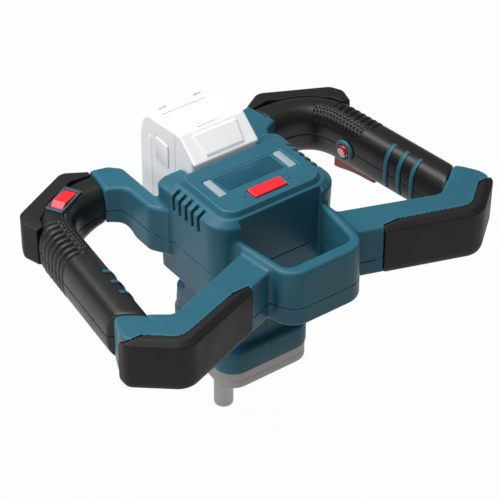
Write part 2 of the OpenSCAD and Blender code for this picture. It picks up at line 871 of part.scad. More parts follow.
module indicator_lenses() {
  color("lightcyan")
    both_sides()
      post(lens_x, button_y, deck_z, panel_z + 0.2, lens_r);
}

module panel_board() {
  color(board_green) {
    panel_slot(deck_hole_half - 2, deck_hole_front + 2, deck_hole_rear - 2, 2, 0,
      deck_z - panel_post_drop - board_t, deck_z - panel_post_drop);
    translate([-4, button_y - 4, deck_z - panel_post_drop - eps])
      cube([8, 8, switch_h]);
  }
}

chip_spots = [-24, 0, 24];
chip_w = 16;
chip_l = 24;
chip_h = 7;
chip_front = -62;
module controller_board() {
  color(board_green) {
    panel_slot(board_half, board_spots[0][1] - 5, board_spots[1][1] + 5, 2, 0, board_z, board_z + board_t);
    for (x = chip_spots)
      translate([x - chip_w / 2, chip_front, board_z + board_t - eps])
        cube([chip_w, chip_l, chip_h]);
  }
}

// Battery bay: rails and contact blades on the bay wall
socket_half = 33;
socket_front = bay_front + seat_gap;
socket_t = 5.3;
rail_in = 22;
rail_w = 5;
rail_d = 5;
hood_drop = 23.6;
hood_z = pack_top - hood_drop;
socket_top = min(deck_z - 7, hood_z - 13.4);
blade_x = [-10, 0, 10];
blade_t = 1.2;
blade_d = 8;
blade_z = bay_floor + 10;
blade_h = 16;
socket_face = socket_front + socket_t;
module battery_socket() {
  color("#303030") {
    translate([-socket_half, socket_front, bay_floor])
      cube([2 * socket_half, socket_t, socket_top - bay_floor]);
    both_sides()
      translate([rail_in, socket_face - eps, bay_floor])
        cube([rail_w, rail_d, socket_top - bay_floor]);
  }
}

module socket_blades() {
  color(copper)
    for (x = blade_x)
      translate([x - blade_t / 2, socket_face, blade_z])
        cube([blade_t, blade_d, blade_h]);
}

// Pack: profile in the centre plane carried across its width
pack_joint = 24;
pack_front = socket_face + slide_gap;
hood_front = -9.5;
module across_width(pts, half) {
  translate([half, 0, 0])
    rotate([90, 0, -90])
      linear_extrude(2 * half)
        polygon([for (p = pts) [-p[0], p[1]]]);
}
cover_profile = [[pack_front, pack_bottom], [pack_joint, pack_bottom], [pack_joint, pack_top - 0.6],
  [16, pack_top], [hood_front, hood_z + 3], [hood_front, hood_z], [pack_front, hood_z]];
case_slope = 5;
case_profile = [[pack_joint, pack_bottom], [pack_rear - 4, pack_bottom], [pack_rear, pack_bottom + 4],
  [pack_rear, pack_top - 36], [pack_rear - 5, pack_top - 14], [pack_rear - 14, pack_top - case_slope],
  [pack_joint, pack_top - 0.6]];
cell_pitch = cell_d + 0.6;
cell_y = [pack_joint + 1 + cell_d / 2, pack_joint + 1 + cell_pitch + cell_d / 2];
cell_floor = pack_bottom + pack_wall + 0.4;
cell_z = cell_floor + cell_d / 2;
cell_rows = floor((pack_top - case_slope - pack_wall - cell_floor) / cell_pitch);
pack_room_top = cell_z + (cell_rows - 0.5) * cell_pitch + 0.6;
module battery_case() {
  color(frosted)
    difference() {
      across_width(case_profile, pack_w / 2);
      translate([-pack_w / 2 + pack_wall, pack_joint - past, pack_bottom + pack_wall])
        cube([pack_w - 2 * pack_wall, cell_y[1] + cell_d / 2 + 1 - pack_joint + past,
          pack_room_top - pack_bottom - pack_wall]);
      both_sides()
        latch_block(slide_gap, pack_wall + past);
    }
}

module battery_cover() {
  color(frosted)
    difference() {
      across_width(cover_profile, pack_w / 2);
      both_sides()
        translate([rail_in - slide_gap, pack_front - past, pack_bottom - past])
          cube([rail_w + 2 * slide_gap, rail_d - slide_gap + past + slide_gap, socket_top - pack_bottom
            + past + slide_gap]);
      for (x = blade_x)
        translate([x - blade_t / 2 - slide_gap, pack_front - past, pack_bottom - past])
          cube([blade_t + 2 * slide_gap, blade_d + past, blade_z + blade_h - pack_bottom + past + slide_gap]);
    }
}

module battery_cells() {
  color("steelblue")
    for (y = cell_y, k = [0:cell_rows - 1])
      translate([-cell_l / 2, y, cell_z + k * cell_pitch])
        rotate([0, 90, 0])
          cylinder(h = cell_l, d = cell_d);
}

// Release buttons in the sides of the pack
latch_y = 36;
latch_l = 22;
latch_drop = 49;
latch_z = pack_top - latch_drop;
latch_h = 26;
latch_proud = 1;
module latch_block(grow, depth) {
  translate([pack_w / 2 - depth, latch_y - grow, latch_z - grow])
    cube([depth + latch_proud, latch_l + 2 * grow, latch_h + 2 * grow]);
}
module left_latch() {
  color("lightgray")
    mirror([1, 0, 0])
      latch_block(0, pack_wall + 0.2);
}
module right_latch() {
  color("lightgray")
    latch_block(0, pack_wall + 0.2);
}

// Grips: upper and lower half shells
last_ring = len(grip_path) - 1;
lock_y = 3;
lock_z = -2;
trigger_y = 2;
switch_front = -34;
switch_rear = -7;
switch_half = 16.2;
switch_bottom = -5;
switch_top = 9;
module lock_bore(r) {
  on_grip()
    translate([-grip_w / 2 - 12, lock_y, lock_z])
      rotate([0, 90, 0])
        linear_extrude(26)
          polygon([for (i = [0:31]) r / cos(5.625) * [cos(i * 11.25 + 5.625), sin(i * 11.25 + 5.625)]]);
}
module trigger_slot() {
  on_grip()
    translate([-trigger_w / 2 - slide_gap, trigger_y - trigger_l / 2 - slide_gap, -grip_h / 2 - 6])
      cube([trigger_w + 2 * slide_gap, trigger_l + 2 * slide_gap, 14]);
}

rocker_spot = [146.6, 62.4];
rocker_turn = -28;
rocker_top = grip_z + grip_h / 2;
rocker_l = rocker_frame_l - 10;
rocker_w = rocker_frame_w - 5;
rocker_h = 4;
rocker_deep = 4;
rocker_room = rocker_h * sin(rocker_tilt) + 0.7;
module on_rocker() {
  mirror([1, 0, 0])
    translate([rocker_spot[0], rocker_spot[1], rocker_top])
      rotate([0, 0, rocker_turn])
        children();
}
module slab(l, w, z0, z1) {
  translate([-l / 2, -w / 2, z0])
    cube([l, w, z1 - z0]);
}

frame_sink = 2.2;
frame_proud = 1.8;
module left_grip_upper() {
  color(rubber)
    difference() {
      mirror([1, 0, 0])
        carried(half_section(1), 0, last_ring);
      on_rocker() {
        slab(rocker_frame_l + 2 * seat_gap, rocker_frame_w + 2 * seat_gap, -frame_sink, 8);
        slab(rocker_l + 2 * rocker_room, rocker_w + 2 * slide_gap, -8, 8);
      }
    }
}
module left_grip_lower() {
  color(rubber)
    mirror([1, 0, 0])
      carried(half_section(-1), 0, last_ring);
}
module right_grip_upper() {
  color(rubber)
    difference() {
      carried(half_section(1), 0, last_ring);
      lock_bore(lock_r + slide_gap);
    }
}
module right_grip_lower() {
  color(rubber)
    difference() {
      carried(half_section(-1), 0, last_ring);
      lock_bore(lock_r + slide_gap);
      trigger_slot();
    }
}

// Coloured bands: thin C-shaped strips on the inner side of each grip
band_y = -55;
band_lift = 0.15;
band_t = 0.9;
band_from = 100;
band_to = 215;
module grip_bands() {
  steps = 10;
  angles = [for (k = [0:steps]) band_from + (band_to - band_from) * k / steps];
  pts = concat([for (a = angles) section_point(a, band_t)],
    [for (k = [steps:-1:0]) section_point(angles[k], band_lift)]);
  on_grip()
    for (k = [0:band_count - 1])
      translate([0, band_y - k * band_pitch + band_w / 2, 0])
        rotate([90, 0, 0])
          linear_extrude(band_w)
            polygon(pts);
}
module left_grip_bands() {
  color(teal)
    mirror([1, 0, 0])
      grip_bands();
}
module right_grip_bands() {
  color(teal)
    grip_bands();
}

module left_front_bumper() {
  color(rubber)
    mirror([1, 0, 0])
      prism(bumper_plan_pts, ring_bottom, ring_top);
}
module right_front_bumper() {
  color(rubber)
    prism(bumper_plan_pts, ring_bottom, ring_top);
}

// Rear bumpers: a block round the outside of each bend, seated on the grip
bumper_lift = 0.2;
bumper_low = ring_bottom + 2;
bumper_high = ring_top - 4;
rear_edge = [[rear_joint_out[0] + 0.3, rear_joint_out[1] + 2.7, 0], [122, 107, 12], [192, 72, 12], [198.5, 58, 8],
  [193, 39, 0]];
// The inner edge follows the outer one at the width of the band
rear_inner = [[184, 41, 0], [192 - 0.75 * rear_bumper_t, 72 - 1.19 * rear_bumper_t, 8],
  [122 + 0.06 * rear_bumper_t, 107 - 1.17 * rear_bumper_t, 8],
  [rear_joint_out[0] + 1.7, rear_joint_out[1] - 5, 0]];
rear_bumper_plan = concat(rear_inner, rear_edge);
module rear_bumper() {
  difference() {
    prism(rear_bumper_plan, bumper_low, bumper_high);
    carried([for (k = [0:2 * section_steps - 1]) section_point(k * 180 / section_steps, bumper_lift)], 0, last_ring);
  }
}
module left_rear_bumper() {
  color(rubber)
    mirror([1, 0, 0])
      rear_bumper();
}
module right_rear_bumper() {
  color(rubber)
    rear_bumper();
}

module rocker_frame() {
  color(dark_teal)
    on_rocker()
      difference() {
        slab(rocker_frame_l, rocker_frame_w, -frame_sink, frame_proud);
        slab(rocker_l + 2 * rocker_room, rocker_w + 2 * slide_gap, -frame_sink - past, frame_proud + past);
      }
}

module rocker() {
  color(red)
    on_rocker()
      translate([0, rocker_w / 2, 0])
        rotate([90, 0, 0])
          linear_extrude(rocker_w)
            polygon([[-rocker_l / 2, -rocker_deep], [rocker_l / 2, -rocker_deep], [rocker_l / 2, rocker_h],
              [0, rocker_h - 1], [-rocker_l / 2, rocker_h]]);
}

trigger_top = switch_bottom - trigger_travel - 1;
spring_y = (switch_front + switch_rear) / 2;
spring_r = 3.4;
trigger_pocket = 14;
module trigger() {
  color(clear_red)
    on_grip()
      difference() {
        translate([-trigger_w / 2, trigger_y - trigger_l / 2, -grip_h / 2 - trigger_drop])
          cube([trigger_w, trigger_l, grip_h / 2 + trigger_drop + trigger_top]);
        translate([0, spring_y, trigger_top - trigger_pocket])
          cylinder(h = trigger_pocket + past, r = spring_r + slide_gap);
      }
}

module trigger_switch() {
  color("dimgray")
    on_grip()
      translate([-switch_half, switch_front, switch_bottom])
        cube([2 * switch_half, switch_rear - switch_front, switch_top - switch_bottom]);
}

// Return spring at its pressed length, seated under the switch
spring_wire = 1;
module trigger_spring() {
  color(steel)
    on_grip()
      translate([0, spring_y, switch_bottom - trigger_pocket + trigger_travel - 0.6])
        difference() {
          cylinder(h = trigger_pocket - trigger_travel + 0.6, r = spring_r);
          translate([0, 0, -past])
            cylinder(h = trigger_pocket + 2 * past, r = spring_r - spring_wire);
        }
}

lock_out = lock_travel + 2;
module lock_button() {
  color(clear_red)
    on_grip()
      translate([-grip_w / 2 - lock_out, lock_y, lock_z])
        rotate([0, 90, 0])
          cylinder(h = lock_out + grip_wall + 3, r = lock_r);
}

collar_w = 5;
collar_t = 3;
module lock_collar() {
  color(teal)
    on_grip()
      translate([-grip_w / 2 - collar_t - 0.15, lock_y, lock_z])
        rotate([0, 90, 0])
          difference() {
            cylinder(h = collar_t, r = lock_r + collar_w);
            translate([0, 0, -past])
              cylinder(h = collar_t + 2 * past, r = lock_r + slide_gap);
          }
}

upper_housing();
lower_housing();
gear_neck();
control_panel();
panel_plate();
light_strips();
panel_button();
indicator_lenses();
panel_board();
controller_board();
housing_screws();
gearbox_case();
gearbox_cover();
cover_screws();
spindle();
output_wheel();
spindle_bearings();
shaft_seal();
middle_shaft();
middle_wheel();
middle_pinion();
middle_bushes();
motor_plate();
motor_shaft();
motor_pinion();
rotor_core();
stator();
motor_can();
motor_cap();
motor_bearings();
cooling_fan();
battery_socket();
socket_blades();
battery_case();
battery_cover();
battery_cells();
left_latch();
right_latch();
left_grip_upper();
left_grip_lower();
right_grip_upper();
right_grip_lower();
left_grip_bands();
right_grip_bands();
left_front_bumper();
right_front_bumper();
left_rear_bumper();
right_rear_bumper();
rocker_frame();
rocker();
trigger();
trigger_switch();
trigger_spring();
lock_button();
lock_collar();
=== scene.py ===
"""Looks of the cordless paddle mixer's power head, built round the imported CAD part.

All sizes are in millimetres in the CAD frame: Z up along the spindle, X across the grips,
carry loop towards -Y. Left-hand pieces mirror the right-hand ones.
"""

from functools import reduce

import bpy
import bmesh
import numpy as np
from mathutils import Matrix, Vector


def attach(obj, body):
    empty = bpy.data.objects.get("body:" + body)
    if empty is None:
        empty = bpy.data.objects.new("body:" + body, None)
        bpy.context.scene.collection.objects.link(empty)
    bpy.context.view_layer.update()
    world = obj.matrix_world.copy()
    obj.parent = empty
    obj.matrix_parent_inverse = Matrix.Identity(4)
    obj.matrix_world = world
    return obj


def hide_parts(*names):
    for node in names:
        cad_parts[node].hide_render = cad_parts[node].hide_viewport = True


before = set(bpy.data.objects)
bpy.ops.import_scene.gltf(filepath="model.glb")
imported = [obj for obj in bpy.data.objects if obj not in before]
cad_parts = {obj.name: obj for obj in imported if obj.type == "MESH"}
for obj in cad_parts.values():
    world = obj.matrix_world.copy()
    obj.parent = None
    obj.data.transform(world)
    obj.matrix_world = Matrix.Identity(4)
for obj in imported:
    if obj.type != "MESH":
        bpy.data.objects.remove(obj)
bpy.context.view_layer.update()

MM = 0.001
COARSE = 1.0
FAR = 1e12  # more than any squared distance
TINY = 1e-9
DIAGONAL = 0.7071
ARC_STEPS = 7
SIDES = (("right", 1), ("left", -1))


# Shapes: signed distances, negative inside. The last value of join, meet and cut is a radius

def unit(v):
    """Vector of length one along v."""
    return v / np.linalg.norm(v)


def rounded(points):
    """Outline in which each corner [x, y, r] becomes an arc of radius r that touches its sides."""
    pts = np.array(points, float)
    out = []
    for p, a, b in zip(pts, np.roll(pts, 1, 0), np.roll(pts, -1, 0)):
        at, r = p[:2], p[2]
        if r == 0:
            out.append(at[None])
            continue
        u, v = unit((a - p)[:2]), unit((b - p)[:2])
        half = np.arccos(np.clip(u @ v, -1, 1)) / 2
        centre = at + unit(u + v) * r / np.sin(half)
        start = at + u * r / np.tan(half) - centre
        end = at + v * r / np.tan(half) - centre
        first = np.arctan2(start[1], start[0])
        sweep = (np.arctan2(end[1], end[0]) - first + np.pi) % (2 * np.pi) - np.pi
        t = first + sweep * np.linspace(0, 1, ARC_STEPS + 1)
        out.append(centre + r * np.stack([np.cos(t), np.sin(t)], 1))
    return np.concatenate(out)


def from_outline(corners):
    """Distance to a closed outline with round corners: the least distance to its sides.

    It is negative where a ray towards +x crosses an odd number of sides.
    """
    points = rounded(corners)
    sides = np.roll(points, -1, 0) - points

    def distance(x, y):
        x, y = np.broadcast_arrays(x, y)
        near, odd = np.full(x.shape, FAR), np.zeros(x.shape, bool)
        for (ax, ay), (ex, ey) in zip(points, sides):
            px, py = x - ax, y - ay
            t = np.clip((px * ex + py * ey) / (ex * ex + ey * ey), 0, 1)
            near = np.minimum(near, (px - t * ex) ** 2 + (py - t * ey) ** 2)
            if ey != 0:
                odd ^= ((py >= 0) != (py >= ey)) & (px < py * ex / ey)
        return np.where(odd, -1, 1) * np.sqrt(near)
    return distance


def corner(a, b, r):
    """Distance to where a and b are both negative, with the corner between them of radius r."""
    a, b = a + r, b + r
    return np.minimum(np.maximum(a, b), 0) + np.hypot(np.maximum(a, 0), np.maximum(b, 0)) - r


def box2(x, y, half_x, half_y, r):
    """Distance to a rectangle about the origin with corners of radius r."""
    return corner(np.abs(x) - half_x, np.abs(y) - half_y, r)


def extrude(d, z, low, high, top, bottom):
    """Outline distance d carried from low to high, its rims rounded by the radii top and bottom."""
    mid = (low + high) / 2
    return corner(d, np.abs(z - mid) - (high - low) / 2, np.where(z > mid, top, bottom))


def common(*parts):
    """Common part with sharp edges: the largest of the distances."""
    return reduce(np.maximum, parts)


def join(a, b, k):
    """Union with a fillet of about k where the two surfaces meet."""
    h = np.maximum(k - np.abs(a - b), 0)
    return np.minimum(a, b) - h * h / (4 * k)


def meet(a, b, k):
    """Common part with an edge rounded by about k."""
    return -join(-a, -b, k)


def cut(a, b, k):
    """Shape a without shape b, the edge rounded by about k."""
    return meet(a, -b, k)


def ease(t):
    """Smooth step from 0 to 1 while t goes from 0 to 1."""
    t = np.clip(t, 0, 1)
    return t * t * (3 - 2 * t)


def window(t, low, high, edge):
    """One between low and high, falling smoothly to zero over the length edge on both sides."""
    return ease((t - low) / edge + 1) * ease((high - t) / edge + 1)


def to_nearest(t):
    """Signed distance to the nearest whole number."""
    return t - np.round(t)


def past(a, b, plane):
    """Distance past a plane, which is a point and a normal in the two coordinates a and b."""
    (at_a, at_b), (normal_a, normal_b) = plane
    return (a - at_a) * normal_a + (b - at_b) * normal_b


def mirrored(shape, sign):
    """Shape of the right side, or its mirror image where sign is -1."""
    return lambda x, y, z: shape(sign * x, y, z)


def reach(sign, near, far):
    """Ends in x of a box that reaches from near to far on one side."""
    return (near, far) if sign > 0 else (-far, -near)


# Surfaces

CORNERS = np.array([[i, j, k] for i in (0, 1) for j in (0, 1) for k in (0, 1)])
EDGES = [(a, b) for a in range(8) for b in range(a + 1, 8)
         if np.abs(CORNERS[a] - CORNERS[b]).sum() == 1]
CELLS_BEFORE, CELLS_AFTER = 2.2, 3  # empty cells round a piece's box
SETTLE_ROUNDS, SETTLE_REACH, SETTLE_MOST = 2, 0.08, 0.6  # the last is a share of a cell
LEAST_SLOPE = 0.05  # squared
NORMAL_REACH = 0.3  # share of a cell
MERGE, FLAT_ANGLE, BEVEL_FROM = 0.01, 0.5, 40


def slope(shape, p, h):
    """Gradient of the distance at the points p, from differences over 2h."""
    g = np.empty_like(p)
    for axis in range(3):
        step = h * np.eye(3)[axis]
        g[:, axis] = (shape(*(p + step).T) - shape(*(p - step).T)) / (2 * h)
    return g


def surface(shape, low, high, step):
    """Points, quads and normals of the closed surface where the distance is zero.

    Every grid cell that the surface crosses gets one point, the mean of the crossings on its
    edges, and the four cells round a crossed grid edge make a quad. The points then move along
    the gradient onto the surface.
    """
    step = step * COARSE
    axes = [np.arange(a - CELLS_BEFORE * step, b + CELLS_AFTER * step, step)
            for a, b in zip(low, high)]
    grid = np.meshgrid(*axes, indexing="ij", sparse=True)
    value = np.broadcast_to(shape(*grid), [len(a) for a in axes]).astype(np.float32)
    inside = value < 0
    n = np.array(value.shape) - 1
    count = sum(inside[i:i + n[0], j:j + n[1], k:k + n[2]].astype(np.int8) for i, j, k in CORNERS)
    crossed = (count > 0) & (count < 8)
    index = np.full(crossed.shape, -1, np.int32)
    cells = np.argwhere(crossed)
    index[crossed] = np.arange(len(cells))
    at = [value[tuple((cells + c).T)] for c in CORNERS]
    total, hits = np.zeros((len(cells), 3)), np.zeros(len(cells))
    for a, b in EDGES:
        on = (at[a] < 0) != (at[b] < 0)
        t = np.where(on, at[a] / np.where(on, at[a] - at[b], 1), 0)
        total += on[:, None] * (CORNERS[a] + t[:, None] * (CORNERS[b] - CORNERS[a]))
        hits += on
    p = np.array([a[0] for a in axes]) + step * (cells + total / hits[:, None])
    quads = []
    ways = np.eye(3, dtype=int)
    for axis in range(3):
        lower = np.delete(inside, -1, axis)
        nodes = np.argwhere(lower != np.delete(inside, 0, axis))
        du, dw = ways[(axis + 1) % 3], ways[(axis + 2) % 3]
        around = (nodes - du - dw, nodes - dw, nodes, nodes - du)
        quad = np.stack([index[tuple(q.T)] for q in around], 1)
        quads.append(np.where(lower[tuple(nodes.T)][:, None], quad, quad[:, ::-1]))
    most = SETTLE_MOST * step
    for _ in range(SETTLE_ROUNDS):
        g = slope(shape, p, SETTLE_REACH)
        steep = np.sqrt(np.maximum((g * g).sum(1), LEAST_SLOPE))
        p = p - np.clip(shape(*p.T) / steep, -most, most)[:, None] * g / steep[:, None]
    g = slope(shape, p, NORMAL_REACH * step)
    return p, np.concatenate(quads), g / np.maximum(np.linalg.norm(g, axis=1), TINY)[:, None]


def shells(rings, closed=False):
    """Points and faces of a stack of rings [level, step, xyz]: quads and a fan on each end.

    With closed the last ring joins the first instead, as in a tube.
    """
    levels, m = rings.shape[:2]
    p = rings.reshape(-1, 3)
    here = np.arange(levels if closed else levels - 1)[:, None] * m
    there = (here + m) % (levels * m)
    k, l = np.arange(m), (np.arange(m) + 1) % m
    faces = [np.stack([here + k, here + l, there + l, there + k], 2).reshape(-1, 4)]
    if not closed:
        ends = len(p) + np.array([0, 1])
        p = np.concatenate([p, rings[0].mean(0)[None], rings[-1].mean(0)[None]])
        top = (levels - 1) * m
        faces.append(np.concatenate([np.stack([l, k, np.full(m, ends[0])], 1),
                                     np.stack([top + k, top + l, np.full(m, ends[1])], 1)]))
    return p, faces


def turned(profile, n=72):
    """Rings of a profile of [radius, height] points turned about the Z axis."""
    r, z = np.array(profile, float).T
    t = np.linspace(0, 2 * np.pi, n, endpoint=False)
    heights = np.broadcast_to(z[:, None], (len(r), n))
    return np.stack([r[:, None] * np.cos(t), r[:, None] * np.sin(t), heights], 2)


def seat(name, mesh, mat, body, stands_for):
    """Object of a mesh in one material, which rides on a body in place of a CAD node."""
    mesh.materials.clear()
    mesh.materials.append(mat)
    obj = bpy.data.objects.new(name, mesh)
    bpy.context.scene.collection.objects.link(obj)
    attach(obj, body)
    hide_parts(stands_for)
    return obj


def turning(p, faces, normals):
    """How fast the normal turns at each point (1/mm): the mean over the edges that meet there."""
    bend, seen = np.zeros(len(p)), np.zeros(len(p))
    for f in faces:
        for a, b in zip(f.T, np.roll(f, -1, 1).T):
            d = p[b] - p[a]
            turn = ((normals[b] - normals[a]) * d).sum(1) / np.maximum((d * d).sum(1), 1e-6)
            for i in (a, b):
                bend += np.bincount(i, turn, len(p))
                seen += np.bincount(i, minlength=len(p))
    return bend / np.maximum(seen, 1)


def piece(name, p, faces, mat, body, stands_for, normals=None, sharp=32):
    """Object from points in mm and a list of face arrays, with the turning as attribute edge.

    Without given normals, edges of more than sharp degrees stay sharp.
    """
    mesh = bpy.data.meshes.new(name)
    mesh.vertices.add(len(p))
    mesh.vertices.foreach_set("co", (p * MM).astype(np.float32).ravel())
    corners = np.concatenate([f.ravel() for f in faces]).astype(np.int32)
    sides = np.concatenate([np.full(len(f), f.shape[1]) for f in faces])
    mesh.loops.add(len(corners))
    mesh.loops.foreach_set("vertex_index", corners)
    mesh.polygons.add(len(sides))
    mesh.polygons.foreach_set("loop_start", (np.cumsum(sides) - sides).astype(np.int32))
    mesh.polygons.foreach_set("use_smooth", np.ones(len(sides), bool))
    mesh.update(calc_edges=True)
    if normals is None:
        mesh.set_sharp_from_angle(angle=np.radians(sharp))
        flat = np.empty(3 * len(p), np.float32)
        mesh.vertex_normals.foreach_get("vector", flat)
        normals = flat.reshape(-1, 3)
    else:
        mesh.normals_split_custom_set_from_vertices(normals.tolist())
    # The attribute edge drives the painted highlight that finish puts on convex edges.
    edge = mesh.attributes.new("edge", "FLOAT", "POINT")
    edge.data.foreach_set("value", turning(p, faces, normals).astype(np.float32))
    seat(name, mesh, mat, body, stands_for)


def carved(name, shape, low, high, step, mat, body, stands_for):
    """Piece whose surface is the zero of a distance, sampled at step in the box low to high."""
    p, quads, normals = surface(shape, low, high, step)
    piece(name, p, [quads], mat, body, stands_for, normals)


def softened(name, source, mat, body, width):
    """Copy of a CAD node, its shared corners merged and its edges bevelled by width."""
    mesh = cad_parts[source].data.copy()
    mesh.name = name
    bm = bmesh.new()
    bm.from_mesh(mesh)
    bmesh.ops.remove_doubles(bm, verts=bm.verts, dist=MERGE * MM)
    bmesh.ops.dissolve_limit(bm, angle_limit=np.radians(FLAT_ANGLE), verts=bm.verts,
                             edges=bm.edges)
    bm.to_mesh(mesh)
    bm.free()
    mesh.shade_smooth()
    obj = seat(name, mesh, mat, body, source)
    bevel = obj.modifiers.new("edges", "BEVEL")
    bevel.width, bevel.segments, bevel.limit_method = width * MM, 2, "ANGLE"
    bevel.angle_limit, bevel.harden_normals = np.radians(BEVEL_FROM), True


# Materials

DRIFT = (0.3, 0.7)  # noise levels between which tone and gloss drift
GLOSS_LOW, GLOSS_HIGH = 0.88, 1.12
# Painted highlight: convex edges, found by how fast the normal turns (1/mm), are lightened towards
# a paler copy of the base colour, standing in for light catching the rims.
HIGHLIGHT_FROM, HIGHLIGHT_FULL = 0.05, 0.5  # turning in 1/mm
HIGHLIGHT_TIMES, HIGHLIGHT_PLUS = 2.2, 0.05
GRAIN_DEPTH = 0.0003


def srgb(r, g, b):
    """Linear colour of an 8-bit screen colour."""
    c = np.array([r, g, b]) / 255
    return (*np.where(c > 0.04045, ((c + 0.055) / 1.055) ** 2.4, c / 12.92), 1)


def node(tree, kind, links=(), **values):
    """Shader node with socket values by name, and links given as (input, output socket)."""
    new = tree.nodes.new("ShaderNode" + kind)
    for key, value in values.items():
        socket = new.inputs.get(key.replace("_", " "))
        if socket is None:
            setattr(new, key, value)
        else:
            socket.default_value = value
    for key, source in links:
        tree.links.new(new.inputs[key], source)
    return new


def rescaled(tree, source, low, high, to_low, to_high):
    """Output of a node that takes the range low to high to the range to_low to to_high."""
    new = node(tree, "MapRange", [("Value", source)], From_Min=low, From_Max=high,
               To_Min=to_low, To_Max=to_high)
    return new.outputs["Result"]


def tinted(colour):
    """Colour held between 0 and 1, with its alpha."""
    return (*np.clip(colour, 0, 1), 1)


def finish(name, colour, rough, vary, grain, grain_scale, edge=0.0, metallic=0.0, streak=None,
           **shader):
    """Material with drifting tone and gloss, a fine moulded grain and a painted highlight on convex
    edges.
    """
    mat = bpy.data.materials.new(name)
    mat.use_nodes = True
    tree = mat.node_tree
    bsdf = tree.nodes["Principled BSDF"]
    place = node(tree, "TexCoord").outputs["Object"]
    if streak:
        place = node(tree, "Mapping", [("Vector", place)], Scale=streak).outputs["Vector"]
    cloud = node(tree, "TexNoise", [("Vector", place)], Scale=22.0, Detail=4.0, Roughness=0.6)
    cloud = cloud.outputs["Fac"]
    fine = node(tree, "TexNoise", [("Vector", place)], Scale=grain_scale, Detail=3.0,
                Roughness=0.55)
    base = np.array(colour[:3])
    ramp = node(tree, "ValToRGB", [("Fac", cloud)])
    for stop, at, level in zip(ramp.color_ramp.elements, DRIFT, (1 - vary, 1 + vary)):
        stop.position, stop.color = at, tinted(base * level)
    tone = ramp.outputs["Color"]
    # edge sets the strength of this painted highlight on convex edges.
    if edge:
        turn = node(tree, "Attribute", attribute_name="edge").outputs["Fac"]
        highlight_share = rescaled(tree, turn, HIGHLIGHT_FROM, HIGHLIGHT_FULL, 0.0, edge)
        highlight_mix = node(tree, "Mix", data_type="RGBA")
        highlight_mix.inputs["B"].default_value = tinted(base * HIGHLIGHT_TIMES + HIGHLIGHT_PLUS)
        tree.links.new(highlight_mix.inputs["Factor"], highlight_share)
        tree.links.new(highlight_mix.inputs["A"], tone)
        tone = highlight_mix.outputs["Result"]
    gloss = rescaled(tree, cloud, *DRIFT, rough * GLOSS_LOW, rough * GLOSS_HIGH)
    bump = node(tree, "Bump", [("Height", fine.outputs["Fac"])], Strength=grain,
                Distance=GRAIN_DEPTH)
    tree.links.new(bsdf.inputs["Base Color"], tone)
    tree.links.new(bsdf.inputs["Roughness"], gloss)
    tree.links.new(bsdf.inputs["Normal"], bump.outputs["Normal"])
    bsdf.inputs["Metallic"].default_value = metallic
    for key, value in shader.items():
        bsdf.inputs[key.replace("_", " ")].default_value = value
    return mat


# Painted glow: a faint white emission on the pack's pale plastic that flattens its shading; the
# pack gives off no light.
PAINTED_GLOW = {"Emission_Color": (1, 1, 1, 1), "Emission_Strength": 0.1}
# The edge values below set the painted highlight on convex edges.
TEAL = finish("teal_shell", srgb(41, 97, 115), 0.4, 0.05, 0.16, 1400, edge=0.3,
              Specular_IOR_Level=0.25)
# Painted shade: a slightly darker copy of the housing teal, for the neck that sits in shade under
# the body.
TEAL_PAINTED_SHADE = finish("dark_teal", srgb(38, 90, 106), 0.42, 0.05, 0.16, 1400, edge=0.3,
                   Specular_IOR_Level=0.25)
DISPLAY = finish("display_field", srgb(27, 78, 97), 0.2, 0.05, 0.03, 600, Specular_IOR_Level=0.35)
STRIP = finish("light_strip", srgb(150, 164, 174), 0.5, 0.04, 0.1, 2200, edge=0.2)
LENS = finish("lamp_lens", srgb(24, 40, 46), 0.12, 0.05, 0.02, 900)
RED = finish("red_button", srgb(228, 34, 44), 0.36, 0.05, 0.08, 1600, edge=0.12)
CLEAR_RED = finish("clear_red", srgb(198, 40, 36), 0.22, 0.08, 0.05, 500,
                   Transmission_Weight=0.25, IOR=1.49)
SLATE = finish("slate_frame", srgb(48, 78, 90), 0.4, 0.05, 0.08, 1500, edge=0.4,
               Specular_IOR_Level=0.3)
GRIP = finish("grip_black", srgb(27, 27, 28), 0.38, 0.1, 0.2, 2600, edge=0.1,
              Specular_IOR_Level=0.4)
BUMPER = finish("bumper_rubber", srgb(29, 29, 29), 0.55, 0.1, 0.35, 2000, edge=0.06,
                Specular_IOR_Level=0.25)
FROSTED_AND_GLOWING = finish("frosted_pack", srgb(230, 231, 232), 0.5, 0.02, 0.12, 1200, **PAINTED_GLOW)
PACK_KEY = finish("pack_button", srgb(226, 227, 228), 0.55, 0.03, 0.2, 1600, **PAINTED_GLOW)
CAST = finish("cast_alloy", srgb(150, 148, 147), 0.48, 0.07, 0.35, 700, edge=0.15, metallic=0.55)
SPINDLE = finish("spindle_steel", srgb(158, 156, 154), 0.38, 0.05, 0.2, 160, metallic=0.75,
                 streak=(1, 1, 14))
STEEL = finish("gear_steel", srgb(176, 178, 180), 0.3, 0.08, 0.12, 500, metallic=1.0)
SCREW = finish("screw_steel", srgb(120, 120, 122), 0.35, 0.1, 0.1, 600, metallic=1.0)
BLACK = finish("black_plastic", srgb(34, 35, 37), 0.5, 0.12, 0.2, 1500)
SEAL = finish("seal_rubber", srgb(28, 28, 28), 0.7, 0.12, 0.3, 1200)
BRASS = finish("contact_brass", srgb(196, 152, 84), 0.28, 0.08, 0.08, 700, metallic=1.0)
BRONZE = finish("bronze", srgb(168, 116, 70), 0.38, 0.12, 0.15, 500, metallic=1.0)
IRON = finish("motor_iron", srgb(98, 100, 104), 0.42, 0.12, 0.2, 300, metallic=0.8,
              streak=(1, 1, 20))
BOARD = finish("board_green", srgb(36, 92, 54), 0.4, 0.1, 0.1, 400)
SLEEVE = finish("cell_sleeve", srgb(64, 110, 160), 0.3, 0.06, 0.05, 300)


# Grip line: a rounded-box section carried along a bend and a straight

